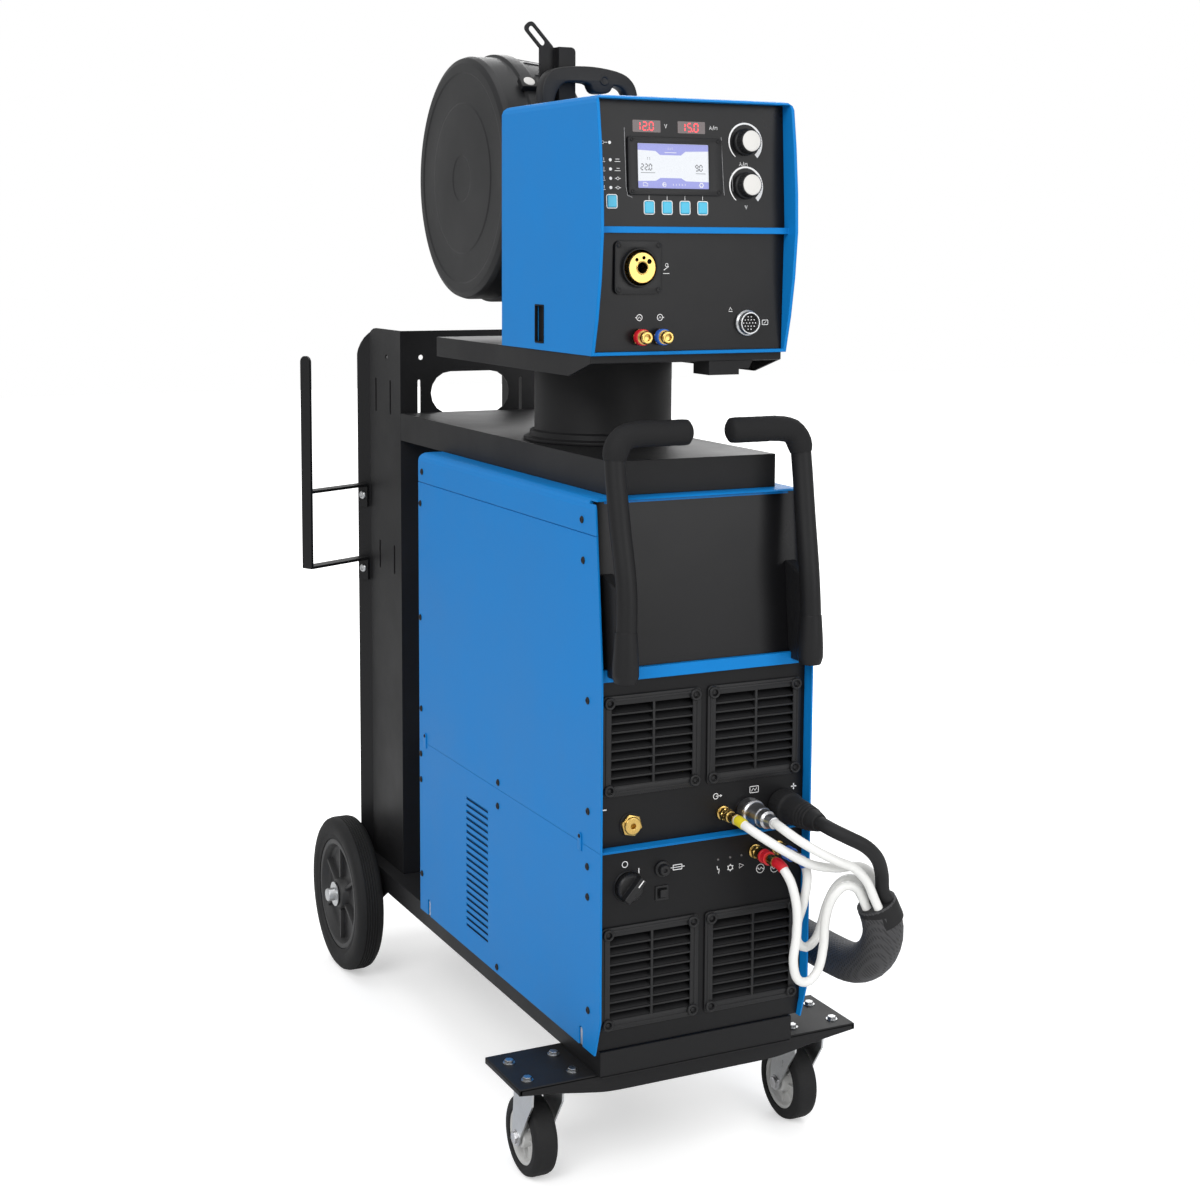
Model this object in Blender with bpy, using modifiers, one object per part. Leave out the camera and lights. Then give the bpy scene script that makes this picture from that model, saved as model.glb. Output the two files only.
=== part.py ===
"""MIG welder on its cart: wire feeder on a turntable post, power source and water cooler on a wheeled tray.

Metres,
+Z up. The front panels face -Y and the floor is at z = 0. Lengths along Y are given from the front edge of
the casings; the empty "welder" moves everything back by CENTRE_Y, so that the origin lies under the middle.
"""

import math

import bmesh
import bpy
from mathutils import Matrix, Vector

# ---------------------------------------------------------------- clearances
GAP = 0.0003  # between pieces that rest on or in each other
RUNNING = 0.0010  # between pieces that turn in or past each other

# ---------------------------------------------------------------- casings
CASE_HALF = 0.145  # half width of cooler and power source
CASE_DEPTH = 0.594
COOLER_Z = 0.178  # underside of the cooler
SEAM_Z = 0.431  # cooler below, power source above
POWER_TOP = 0.849
STRIPE_Z = 0.634  # lower edge of the stripe across the power source
STRIPE_H = 0.0145
CASE_LEAN = 0.020  # how far the upper front leans back at the top
CHIN_H = 0.046  # chamfer at the foot of the cooler's side panels
CHIN_BACK = 0.0145
SKIN = 0.0022  # side panel thickness at the open front
RECESS = 0.016  # black fronts behind the side panels' front edges
PANEL_T = 0.004
CAVITY = 0.060  # space behind the grilles
CASE_ROUND = 0.012

# ---------------------------------------------------------------- cart
PLATE_HALF = 0.236
PLATE_FRONT = 0.029
PLATE_BACK = 0.135
PLATE_TOP = 0.147
PLATE_T = 0.004
PLATE_SKIRT = 0.026  # depth of its folded skirt in the middle
PLATE_SKIRT_END = 0.008
PAD_T = 0.003  # caster mounting plates
TRAY_HALF = 0.134
TRAY_FRONT = 0.020
TRAY_BACK = 0.975
TRAY_T = 0.0025
STAND_T = 0.002  # raised place where a bottle stands
AXLE_Y = 0.870
WHEEL_R = 0.120
WHEEL_W = 0.042
WHEEL_X = 0.163  # middle of a rear wheel
TYRE_WALL = 0.034  # radial thickness of a rear tyre
AXLE_R = 0.010
AXLE_BOSS = 0.017
NUT_OUT = 0.014

CASTER_X = 0.186
CASTER_Y = 0.078
CASTER_R = 0.050
CASTER_W = 0.032
CASTER_TRAIL = 0.028
CASTER_TYRE = 0.015
CASTER_AXLE_R = 0.005

MAST_Y = 0.751
MAST_HALF = 0.113
MAST_SIDE = 0.135  # depth of its side walls
MAST_FLARE = 0.028
MAST_FLARE_ANGLE = math.radians(26)
MAST_T = 0.0025
MAST_TOP = 1.013

SHELF_HALF = 0.113
SHELF_FRONT = 0.045
SHELF_TOP = 0.890
SHELF_T = 0.0025

POST_Y = 0.295
POST_R = 0.090
POST_WALL = 0.003
PIVOT_R = 0.030

DECK_HALF = 0.1305
DECK_FRONT = 0.065
DECK_BACK = 0.557
DECK_TOP = 1.0135
DECK_T = 0.003
DECK_FLANGE = 0.027

# ---------------------------------------------------------------- handles of the power source
HANDLE_X = 0.1255
HANDLE_R = 0.0125
GRIP_R = 0.0155
GRIP_END_X = 0.027
GRIP_Z = 0.925
HANDLE_FOOT_Z = 0.640

# ---------------------------------------------------------------- wire feeder
FEED_HALF = 0.133
FEED_BACK = 0.321
FEED_Z = DECK_TOP + GAP
FEED_H = 0.3022
FEED_TOP = FEED_Z + FEED_H
STRIPE_RISE = 0.1437  # from the casing's underside to its stripe
FEED_STRIPE_Z = FEED_Z + STRIPE_RISE
FEED_STRIPE_H = 0.0075
FEED_FACE_Y = 0.058  # black face just above the stripe
FEED_LEAN = math.radians(3.5)
FEED_FACE_THIN = 0.0028  # the face panel at its top edge, where it is thinnest
FEED_PANEL_BACK = round(FEED_FACE_Y + (FEED_TOP - FEED_STRIPE_Z - FEED_STRIPE_H) * math.tan(FEED_LEAN)
                        + FEED_FACE_THIN, 4)  # to a tenth of a millimetre
FEED_ROUND = 0.010

HANDLE_ENDS = (-0.0925, 0.0355)  # the carry handle's two feet
HANDLE_ROOF_Y = 0.287
EYE_EDGES = (-0.083, -0.0619, -0.0385)  # left edge, fold and right edge of the lifting plate
EYE_RISE = 0.0777
EYE_TOP = FEED_TOP + EYE_RISE
EYE_T = 0.004
EYE_STEP = 0.012  # how far its right half stands in front of the left one
EYE_TILT = 46.8

DRUM_Y = 0.491
DRUM_RISE = 0.2175
DRUM_Z = DECK_TOP + DRUM_RISE
DRUM_R = 0.163
DRUM_WALL = 0.003
DRUM_FACE_X = -0.120
DRUM_RIM_X = -0.077  # where cover and drum meet
DRUM_LIP = 0.016
DRUM_BACK_X = 0.005
DRUM_SIDES = 32
SPOOL_R = 0.150
SPOOL_BORE = 0.0255
SPINDLE_R = 0.0245

CENTRE_Y = (AXLE_Y + WHEEL_R - 0.0365) / 2

COLLECTION = "mig_welder_on_cart"


# ================================================================ helpers
def start_scene():
    for old in list(bpy.data.objects):
        bpy.data.objects.remove(old, do_unlink=True)
    made = bpy.data.collections.new(COLLECTION)
    bpy.context.scene.collection.children.link(made)
    return made


PARTS = start_scene()


def material(name, colour, roughness=0.5, metallic=0.0):
    made = bpy.data.materials.new(name)
    made.use_nodes = True
    shader = made.node_tree.nodes["Principled BSDF"]
    shader.inputs["Base Color"].default_value = (*colour, 1.0)
    shader.inputs["Roughness"].default_value = roughness
    shader.inputs["Metallic"].default_value = metallic
    made.diffuse_color = (*colour, 1.0)
    return made


BLUE = material("powder_blue", (0.012, 0.200, 0.520), 0.42)
BLACK = material("powder_black", (0.020, 0.020, 0.022), 0.50)
PLASTIC = material("black_plastic", (0.022, 0.022, 0.024), 0.55)
RUBBER = material("rubber", (0.030, 0.030, 0.031), 0.80)
GREY = material("grey_plastic", (0.300, 0.310, 0.320), 0.50)
ZINC = material("zinc", (0.620, 0.630, 0.640), 0.35, 0.9)
BRASS = material("brass", (0.700, 0.520, 0.220), 0.30, 0.9)
WHITE = material("white_hose", (0.800, 0.800, 0.780), 0.45)
CYAN = material("cyan_key", (0.080, 0.450, 0.600), 0.45)
COPPER = material("wire", (0.600, 0.300, 0.160), 0.35, 0.8)


def evaluated_mesh(thing):
    bpy.context.view_layer.update()
    graph = bpy.context.evaluated_depsgraph_get()
    return bpy.data.meshes.new_from_object(thing.evaluated_get(graph))


def link(thing):
    PARTS.objects.link(thing)
    return thing


def new_object(name, mesh):
    return link(bpy.data.objects.new(name, mesh))


def weld(mesh):
    work = bmesh.new()
    work.from_mesh(mesh)
    bmesh.ops.remove_doubles(work, verts=work.verts, dist=1e-6)
    bmesh.ops.recalc_face_normals(work, faces=work.faces)
    work.to_mesh(mesh)
    work.free()


def baked(thing):
    """The object with its modifiers or curve settings turned into a welded mesh in world space."""
    mesh = evaluated_mesh(thing)
    mesh.transform(thing.matrix_world)
    weld(mesh)
    name = thing.name
    bpy.data.objects.remove(thing, do_unlink=True)
    return new_object(name, mesh)


def box(name, low, high):
    work = bmesh.new()
    bmesh.ops.create_cube(work, size=1.0)
    size = [b - a for a, b in zip(low, high)]
    middle = [(a + b) / 2 for a, b in zip(low, high)]
    bmesh.ops.scale(work, vec=size, verts=work.verts)
    bmesh.ops.translate(work, vec=middle, verts=work.verts)
    mesh = bpy.data.meshes.new(name)
    work.to_mesh(mesh)
    work.free()
    return new_object(name, mesh)


def rod(name, start, end, radius, sides=24, end_radius=None):
    """A cylinder or cone from start to end."""
    a, b = Vector(start), Vector(end)
    work = bmesh.new()
    bmesh.ops.create_cone(
        work, cap_ends=True, segments=sides, radius1=radius,
        radius2=radius if end_radius is None else end_radius, depth=(b - a).length,
    )
    turn = Vector((0, 0, 1)).rotation_difference(b - a).to_matrix().to_4x4()
    work.transform(Matrix.Translation((a + b) / 2) @ turn)
    mesh = bpy.data.meshes.new(name)
    work.to_mesh(mesh)
    work.free()
    return new_object(name, mesh)


AXES = {
    "X": Matrix(((0, 0, 1, 0), (1, 0, 0, 0), (0, 1, 0, 0), (0, 0, 0, 1))),
    "Y": Matrix(((1, 0, 0, 0), (0, 0, -1, 0), (0, 1, 0, 0), (0, 0, 0, 1))),
    "Z": Matrix.Identity(4),
}


def flat(name, outlines, low, high, axis):
    """Outlines, the first the edge and the others holes, extruded along an axis from low to high.

    Their points are (y, z) for X, (x, z) for Y and (x, y) for Z.
    """
    curve = bpy.data.curves.new(name, "CURVE")
    curve.dimensions = "2D"
    curve.fill_mode = "BOTH"
    curve.extrude = (high - low) / 2
    for points in outlines:
        spline = curve.splines.new("POLY")
        spline.points.add(len(points) - 1)
        for spot, (u, v) in zip(spline.points, points):
            spot.co = (u, v, 0, 1)
        spline.use_cyclic_u = True
    thing = link(bpy.data.objects.new(name, curve))
    middle = (low + high) / 2
    shift = {"X": (middle, 0, 0), "Y": (0, middle, 0), "Z": (0, 0, middle)}[axis]
    thing.matrix_world = Matrix.Translation(shift) @ AXES[axis]
    return baked(thing)


def rectangle(u0, v0, u1, v1):
    return [(u0, v0), (u1, v0), (u1, v1), (u0, v1)]


def arc(u, v, radius, start, end, steps):
    """Points on an arc about (u, v), from start to end degrees."""
    angles = [math.radians(start + (end - start) * k / steps) for k in range(steps + 1)]
    return [(u + radius * math.cos(a), v + radius * math.sin(a)) for a in angles]


def round_rectangle(u0, v0, u1, v1, radius, steps=4):
    corners = ((u1, v1, 0), (u0, v1, 90), (u0, v0, 180), (u1, v0, 270))
    points = []
    for u, v, turn in corners:
        inner_u = u - math.copysign(radius, u - (u0 + u1) / 2)
        inner_v = v - math.copysign(radius, v - (v0 + v1) / 2)
        points += arc(inner_u, inner_v, radius, turn, turn + 90, steps)
    return points


def circle(u, v, radius, sides=16):
    return arc(u, v, radius, 0, 360 - 360 / sides, sides - 1)


def strip(path, thickness):
    """The outline of a folded sheet: a path and its copy at one thickness to the left, with mitred folds."""
    points = [Vector(p) for p in path]
    normals = []
    for a, b in zip(points, points[1:]):
        d = (b - a).normalized()
        normals.append(Vector((-d.y, d.x)))
    inner = []
    for k, p in enumerate(points):
        n0 = normals[max(k - 1, 0)]
        n1 = normals[min(k, len(normals) - 1)]
        n = n0 + n1
        inner.append(p + n * (thickness / (n.dot(n1))))
    return [tuple(p) for p in points] + [tuple(p) for p in reversed(inner)]


def turned(name, profile, origin, axis, sides=32, closed=False):
    """A profile of (radius, height) points turned about an axis through origin; closed is for a ring."""
    work = bmesh.new()
    spots = [work.verts.new((r, 0, h)) for r, h in profile]
    pairs = list(zip(spots, spots[1:]))
    if closed:
        pairs.append((spots[-1], spots[0]))
    for a, b in pairs:
        work.edges.new((a, b))
    mesh = bpy.data.meshes.new(name)
    work.to_mesh(mesh)
    work.free()
    thing = new_object(name, mesh)
    screw = thing.modifiers.new("turn", "SCREW")
    screw.axis = "Z"
    screw.steps = sides
    screw.render_steps = sides
    screw.use_merge_vertices = True
    screw.merge_threshold = 0.00001
    turn = Vector((0, 0, 1)).rotation_difference(Vector(axis)).to_matrix().to_4x4()
    thing.matrix_world = Matrix.Translation(origin) @ turn
    return baked(thing)


def smooth_path(points, spacing):
    """Points at an even spacing on a Catmull-Rom curve through the given ones."""
    p = [Vector(q) for q in points]
    p = [2 * p[0] - p[1], *p, 2 * p[-1] - p[-2]]
    fine = []
    for k in range(1, len(p) - 2):
        for s in range(24):
            t = s / 24
            fine.append(0.5 * (
                2 * p[k] + (p[k + 1] - p[k - 1]) * t
                + (2 * p[k - 1] - 5 * p[k] + 4 * p[k + 1] - p[k + 2]) * t * t
                + (3 * p[k] - p[k - 1] - 3 * p[k + 1] + p[k + 2]) * t ** 3
            ))
    fine.append(p[-2])
    lengths = [0.0]
    for a, b in zip(fine, fine[1:]):
        lengths.append(lengths[-1] + (b - a).length)
    count = max(2, round(lengths[-1] / spacing))
    even = []
    k = 0
    for n in range(count + 1):
        want = lengths[-1] * n / count
        while k < len(fine) - 2 and lengths[k + 1] < want:
            k += 1
        share = (want - lengths[k]) / (lengths[k + 1] - lengths[k])
        even.append(fine[k].lerp(fine[k + 1], min(share, 1.0)))
    return even


def tube(name, points, radius, resolution=2):
    """A round bar or hose along points, with 4 + 2 * resolution sides."""
    curve = bpy.data.curves.new(name, "CURVE")
    curve.dimensions = "3D"
    curve.bevel_depth = radius
    curve.bevel_resolution = resolution
    curve.use_fill_caps = True
    spline = curve.splines.new("POLY")
    spline.points.add(len(points) - 1)
    for spot, p in zip(spline.points, points):
        spot.co = (*p, 1)
    return baked(link(bpy.data.objects.new(name, curve)))


def boolean(thing, others, operation):
    """Joins others to the object, or cuts them out of it, and removes them."""
    for other in others:
        step = thing.modifiers.new(operation.lower(), "BOOLEAN")
        step.operation = operation
        step.solver = "EXACT"
        step.object = other
    made = baked(thing)
    for other in others:
        bpy.data.objects.remove(other, do_unlink=True)
    return made


def cut(thing, *cutters):
    return boolean(thing, cutters, "DIFFERENCE")


def fuse(thing, *pieces):
    return boolean(thing, pieces, "UNION")


def bevelled(thing, width, segments, chosen):
    """Rounds the edges whose two ends both satisfy chosen(point)."""
    work = bmesh.new()
    work.from_mesh(thing.data)
    edges = [e for e in work.edges if all(chosen(v.co) for v in e.verts)]
    bmesh.ops.bevel(work, geom=edges, offset=width, segments=segments, profile=0.5, affect="EDGES")
    work.to_mesh(thing.data)
    work.free()
    return thing


def turned_about(thing, angle, axis, centre):
    centre = Vector(centre)
    thing.data.transform(
        Matrix.Translation(centre) @ Matrix.Rotation(angle, 4, axis) @ Matrix.Translation(-centre)
    )
    return thing


def mirrored(thing, name):
    """A copy of the object on the other side of the plane x = 0."""
    mesh = thing.data.copy()
    mesh.transform(Matrix.Scale(-1, 4, (1, 0, 0)))
    mesh.flip_normals()
    return new_object(name, mesh)


ROOT = link(bpy.data.objects.new("welder", None))
ROOT.location = (0, -CENTRE_Y, 0)


def pivot(name, place, parent=ROOT):
    """An empty on a joint's axis, at a place given from the casings' front."""
    empty = link(bpy.data.objects.new(name, None))
    empty.parent = parent
    at = Vector(place)
    above = parent
    while above is not None and above is not ROOT:
        at = at - above.location
        above = above.parent
    empty.location = at
    return empty


def keep(thing, finish, parent=ROOT):
    """Gives the finished piece its material and hangs it on its parent, with its origin there."""
    place = Vector((0, 0, 0))
    above = parent
    while above is not None and above is not ROOT:
        place = place + above.location
        above = above.parent
    thing.data.transform(Matrix.Translation(-place))
    thing.parent = parent
    thing.data.materials.clear()
    thing.data.materials.append(finish)
    thing.data.shade_smooth()
    thing.data.set_sharp_from_angle(angle=math.radians(32))
    return thing


# ================================================================ cart
def make_front_plate():
    deep, shallow = PLATE_TOP - PLATE_SKIRT, PLATE_TOP - PLATE_SKIRT_END
    step_in, step_out = PLATE_HALF * 0.50, PLATE_HALF * 0.58
    skirt = [
        (-PLATE_HALF, PLATE_TOP), (-PLATE_HALF, shallow), (-step_out, shallow - 0.001), (-step_in, deep),
        (step_in, deep), (step_out, shallow - 0.001), (PLATE_HALF, shallow), (PLATE_HALF, PLATE_TOP),
    ]
    plate = flat("front_plate", [skirt], PLATE_FRONT, PLATE_BACK, "Y")
    under = PLATE_TOP - PLATE_T
    inside = box("inside", (-1, PLATE_FRONT + PLATE_T, 0), (1, PLATE_BACK - PLATE_T, under))
    plate = cut(plate, inside)
    pads = []
    for sign in (-1, 1):
        x = sign * CASTER_X
        outline = round_rectangle(x - 0.042, CASTER_Y - 0.038, x + 0.042, CASTER_Y + 0.038, 0.008, 2)
        pads.append(flat("pad", [outline], under - PAD_T, under + 0.001, "Z"))
    plate = fuse(plate, *pads)
    keep(plate, BLACK)


def make_chassis():
    floor_top = COOLER_Z - GAP
    low = PLATE_TOP + GAP
    lug_low = WHEEL_R - 0.022
    side = [
        (TRAY_FRONT, floor_top), (TRAY_FRONT, low), (AXLE_Y - 0.104, low), (AXLE_Y - 0.028, lug_low),
        (AXLE_Y + 0.028, lug_low), (TRAY_BACK, low), (TRAY_BACK, floor_top),
    ]
    hole = circle(AXLE_Y, WHEEL_R, AXLE_R + GAP, 24)
    tray = flat("chassis", [side, hole], -TRAY_HALF, TRAY_HALF, "X")
    inner = TRAY_HALF - TRAY_T
    inside = box("inside", (-inner, TRAY_FRONT + TRAY_T, 0), (inner, TRAY_BACK - TRAY_T,
                                                              floor_top - TRAY_T))
    tray = cut(tray, inside)
    stand_half = MAST_HALF - MAST_T - RUNNING
    stand = box(
        "stand", (-stand_half, MAST_Y + MAST_T + RUNNING, floor_top - 0.001),
        (stand_half, TRAY_BACK - 0.012, floor_top + STAND_T),
    )
    keep(fuse(tray, stand), BLACK)


def make_axle():
    tip = WHEEL_X + WHEEL_W / 2 + NUT_OUT
    shoulder = WHEEL_X - WHEEL_W / 2 - RUNNING
    profile = [
        (0, tip), (AXLE_R, tip), (AXLE_R, shoulder), (AXLE_BOSS, shoulder), (AXLE_BOSS, TRAY_HALF + GAP),
        (AXLE_R, TRAY_HALF + GAP), (AXLE_R, -TRAY_HALF - GAP), (AXLE_BOSS, -TRAY_HALF - GAP),
        (AXLE_BOSS, -shoulder), (AXLE_R, -shoulder), (AXLE_R, -tip), (0, -tip),
    ]
    keep(turned("rear_axle", profile, (0, AXLE_Y, WHEEL_R), (1, 0, 0), 12), ZINC)


def make_rear_wheel(side, sign):
    half = WHEEL_W / 2
    hub_r = WHEEL_R - TYRE_WALL
    centre = (sign * WHEEL_X, AXLE_Y, WHEEL_R)
    axis = (sign, 0, 0)
    hinge = pivot("rear_wheel_" + side, centre)
    tyre = [
        (hub_r + GAP, half * 0.85), (WHEEL_R - 0.010, half), (WHEEL_R - 0.002, half - 0.006),
        (WHEEL_R, half - 0.012),
        (WHEEL_R, 0.012 - half), (WHEEL_R - 0.002, 0.006 - half), (WHEEL_R - 0.010, -half),
        (hub_r + GAP, -half * 0.85),
    ]
    keep(turned("rear_tyre_" + side, tyre, centre, axis, 32, closed=True), RUBBER, hinge)
    bore = AXLE_R + RUNNING / 4
    disc = 0.004
    rim = [
        (bore, half - 0.002), (0.022, half - 0.002), (0.026, disc), (hub_r - 0.012, disc),
        (hub_r - 0.006, half * 0.78),
        (hub_r, half * 0.78), (hub_r, -half * 0.78), (hub_r - 0.006, -half * 0.78), (hub_r - 0.012, -disc),
        (0.026, -disc), (0.022, -half + 0.002), (bore, -half + 0.002),
    ]
    hub = turned("rear_hub_" + side, rim, centre, axis, 32, closed=True)
    spokes = []
    for k in range(6):
        a = math.radians(60 * k)
        start = Vector((0, math.cos(a), math.sin(a)))
        x0, x1 = sorted((sign * 0.002, sign * (half - 0.007)))
        web = box("web", (x0, 0.024, -0.0025), (x1, hub_r - 0.004, 0.0025))
        web.data.transform(Matrix.Rotation(math.atan2(start.z, start.y), 4, "X"))
        web.data.transform(Matrix.Translation(centre))
        spokes.append(web)
    keep(fuse(hub, *spokes), PLASTIC, hinge)


def make_caster(side, sign):
    """A swivel caster: fixed top plate, then fork and wheel that trails behind the swivel axis."""
    x, y = sign * CASTER_X, CASTER_Y
    under = PLATE_TOP - PLATE_T - PAD_T
    swivel = pivot("caster_swivel_" + side, (x, y, under))
    wheel_y = y + CASTER_TRAIL
    wheel_z = CASTER_R
    leg_in = CASTER_W / 2 + 0.003
    leg_t = 0.0025
    crown = under - 0.012
    crown_plate = rod("crown", (x, y, crown - 0.002), (x, y, crown + 0.001), 0.027, 16)
    neck = rod("neck", (x, y, crown - 0.001), (x, y, under - RUNNING / 2), 0.019, 16)
    leg = [
        (y - 0.022, crown), (y - 0.020, crown - 0.020), (wheel_y - 0.011, wheel_z + 0.002),
        *arc(wheel_y, wheel_z, 0.011, 190, 350, 5),
        (wheel_y + 0.011, wheel_z + 0.004), (y + 0.034, crown - 0.020), (y + 0.027, crown),
    ]
    fork = flat("caster_fork_" + side, [leg], x - leg_in - leg_t, x + leg_in + leg_t, "X")
    inside = box("inside", (x - leg_in, y - 0.1, 0), (x + leg_in, y + 0.1, crown - leg_t))
    fork = cut(fork, inside)
    reach = leg_in + leg_t + 0.004
    bolt = rod("bolt", (x - reach, wheel_y, wheel_z), (x + reach, wheel_y, wheel_z), CASTER_AXLE_R, 12)
    keep(fuse(fork, crown_plate, neck, bolt), ZINC, swivel)
    roll = pivot("caster_roll_" + side, (x, wheel_y, wheel_z), swivel)
    half = CASTER_W / 2
    web = CASTER_R - CASTER_TYRE
    bore = CASTER_AXLE_R + RUNNING / 4
    wheel = [
        (bore, half + 0.001), (0.013, half + 0.001), (0.014, 0.005), (web - 0.004, 0.005),
        (web, half - 0.003),
        (CASTER_R - 0.006, half), (CASTER_R, half - 0.007), (CASTER_R, 0.007 - half),
        (CASTER_R - 0.006, -half),
        (web, 0.003 - half), (web - 0.004, -0.005), (0.014, -0.005), (0.013, -half - 0.001),
        (bore, -half - 0.001),
    ]
    centre = (x, wheel_y, wheel_z)
    keep(turned("caster_wheel_" + side, wheel, centre, (1, 0, 0), 20, closed=True), RUBBER, roll)


def make_mast():
    """The folded column that carries the shelf and holds a gas bottle between its flared walls."""
    flare = Vector((math.sin(MAST_FLARE_ANGLE), math.cos(MAST_FLARE_ANGLE))) * MAST_FLARE
    wall_end = MAST_Y + MAST_SIDE
    path = [
        (MAST_HALF + flare.x, wall_end + flare.y), (MAST_HALF, wall_end), (MAST_HALF, MAST_Y),
        (-MAST_HALF, MAST_Y),
        (-MAST_HALF, wall_end), (-MAST_HALF - flare.x, wall_end + flare.y),
    ]
    mast = flat("mast", [strip(path, -MAST_T)], COOLER_Z, MAST_TOP, "Z")
    radius = 0.055
    past = wall_end + MAST_FLARE + 0.02
    corner = [(MAST_Y + 0.107, MAST_TOP + 0.02), *reversed(arc(
        MAST_Y + 0.107, MAST_TOP - radius, radius, 0, 90, 8)), (past, MAST_TOP - radius - 0.02),
        (past, MAST_TOP + 0.02)]
    reach = MAST_HALF + 0.05
    cutters = [flat("corner", [corner], -reach, reach, "X")]
    oval = round_rectangle(-0.064, 0.887, 0.064, 0.951, 0.0315, 4)
    cutters.append(flat("oval", [oval], MAST_Y - 0.01, MAST_Y + 0.01, "Y"))
    for x in (-0.083, 0.083):
        slot = round_rectangle(x - 0.0025, 0.842, x + 0.0025, 0.940, 0.0024, 2)
        cutters.append(flat("slot", [slot], MAST_Y - 0.01, MAST_Y + 0.01, "Y"))
    cutters.append(flat("eye", [circle(-0.080, 0.973, 0.004, 10)], MAST_Y - 0.01, MAST_Y + 0.01, "Y"))
    for back, low, high in ((0.108, 0.884, 0.937), (0.044, 0.884, 0.937), (0.094, 0.641, 0.686),
                            (0.030, 0.641, 0.686)):
        y = MAST_Y + back
        slot = round_rectangle(y - 0.003, low, y + 0.003, high, 0.0029, 2)
        cutters.append(flat("chain_slot", [slot], -reach, reach, "X"))
    cutters.append(flat("eye", [circle(MAST_Y + 0.061, 0.971, 0.004, 10)], -reach, reach, "X"))
    keep(cut(mast, *cutters), BLACK)


def make_hanger():
    """A flat bar bent to a cable hook, with two arms bolted to the mast's flared wall."""
    bar_t, bar_w = 0.004, 0.020
    direction = Vector((-math.cos(MAST_FLARE_ANGLE), -math.sin(MAST_FLARE_ANGLE)))
    along = Vector((-math.sin(MAST_FLARE_ANGLE), math.cos(MAST_FLARE_ANGLE)))
    seat = Vector((-MAST_HALF, MAST_Y + MAST_SIDE)) + along * (MAST_FLARE / 2) + direction * GAP
    reach = (PLATE_HALF + seat.x - abs(along.x) * bar_w / 2) / abs(direction.x)
    low_arm, high_arm, top, tab = 0.652, 0.768, 0.973, 0.036
    far = reach - bar_t
    half = bar_w / 2
    hook = strip([(0, low_arm - tab), (0, low_arm), (far, low_arm), (far, top)], -bar_t)
    arm = strip([(0, high_arm - tab), (0, high_arm), (far + bar_t / 2, high_arm)], -bar_t)
    hanger = fuse(flat("cable_hanger", [hook], -half, half, "Y"),
                  flat("arm", [arm], GAP - half, half - GAP, "Y"))
    corners = [(-half - 0.01, top + 0.01), (-half - 0.01, top - half),
               *arc(0, top - half, half + GAP, 180, 0, 8),
               (half + 0.01, top - half), (half + 0.01, top + 0.01)]
    hanger = cut(hanger, flat("corners", [corners], far - 0.01, far + bar_t + 0.01, "X"))
    angle = math.atan2(direction.y, direction.x)
    hanger.data.transform(Matrix.Translation((seat.x, seat.y, 0)) @ Matrix.Rotation(angle, 4, "Z"))
    keep(hanger, BLACK)


def make_lower_shelf():
    bottom = POWER_TOP + GAP
    back = MAST_Y - GAP
    path = [(-SHELF_HALF, bottom), (-SHELF_HALF, SHELF_TOP), (SHELF_HALF, SHELF_TOP), (SHELF_HALF, bottom)]
    shelf = flat("lower_shelf", [strip(path, -SHELF_T)], SHELF_FRONT, back, "Y")
    front = flat(
        "front", [round_rectangle(-SHELF_HALF, bottom, SHELF_HALF, SHELF_TOP, 0.002, 2)],
        SHELF_FRONT, SHELF_FRONT + SHELF_T, "Y",
    )
    keep(fuse(shelf, front), BLACK)


# ================================================================ casings
def side_vent(x_low, x_high, count=20, pitch=0.0094, length=0.076, height=0.004):
    """Cutters for the cooler's row of vent slots."""
    top = 0.3925
    return [
        box("vent", (x_low, 0.341, top - k * pitch - height), (x_high, 0.341 + length, top - k * pitch))
        for k in range(count)
    ]


def rear_slots(middle, count=9, pitch=0.013):
    """Cutters for the air outlet in a casing's back."""
    back = CASE_DEPTH
    return [
        box("slot", (-0.075, back - 0.008, middle + pitch * (k - count // 2) - 0.004),
            (0.075, back + 0.01, middle + pitch * (k - count // 2) + 0.004))
        for k in range(count)
    ]


def make_cooler_casing():
    low, high = COOLER_Z, SEAM_Z - GAP / 2
    side = [
        (CHIN_BACK, low), (CASE_DEPTH, low), (CASE_DEPTH, high), (0, high), (0, low + CHIN_H),
    ]
    casing = flat("cooler_casing", [side], -CASE_HALF, CASE_HALF, "X")
    inner = CASE_HALF - SKIN
    pocket = [
        (-0.01, low - 0.01), (RECESS + PANEL_T + GAP + 0.006, low - 0.01),
        (RECESS + PANEL_T + GAP + 0.006, low + 0.027),
        (CAVITY, low + 0.027), (CAVITY, high - 0.020), (RECESS + PANEL_T + GAP, high - 0.020),
        (RECESS + PANEL_T + GAP, high - 0.001), (-0.01, high - 0.001),
    ]
    cutters = [flat("pocket", [pocket], -inner, inner, "X")]
    cutters += rear_slots((low + high) / 2)
    depth = 0.003
    for sign in (-1, 1):
        x0, x1 = sorted((sign * (CASE_HALF - depth), sign * (CASE_HALF + 0.01)))
        cutters += side_vent(x0, x1)
        for y in (0.052, 0.559):
            notch = [(y - 0.005, low - 0.01), (y + 0.005, low - 0.01),
                     *arc(y, low + 0.019, 0.005, 0, 180, 6)]
            cutters.append(flat("notch", [notch], x0, x1, "X"))
    keep(cut(casing, *cutters), BLUE)


def lean_at(z):
    """How far the power source's front leans back at a height."""
    above = STRIPE_Z + STRIPE_H
    return max(0.0, (z - above) / (POWER_TOP - above)) * CASE_LEAN


def leaned(thing):
    for v in thing.data.vertices:
        v.co.y += lean_at(v.co.z)
    return thing


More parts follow.
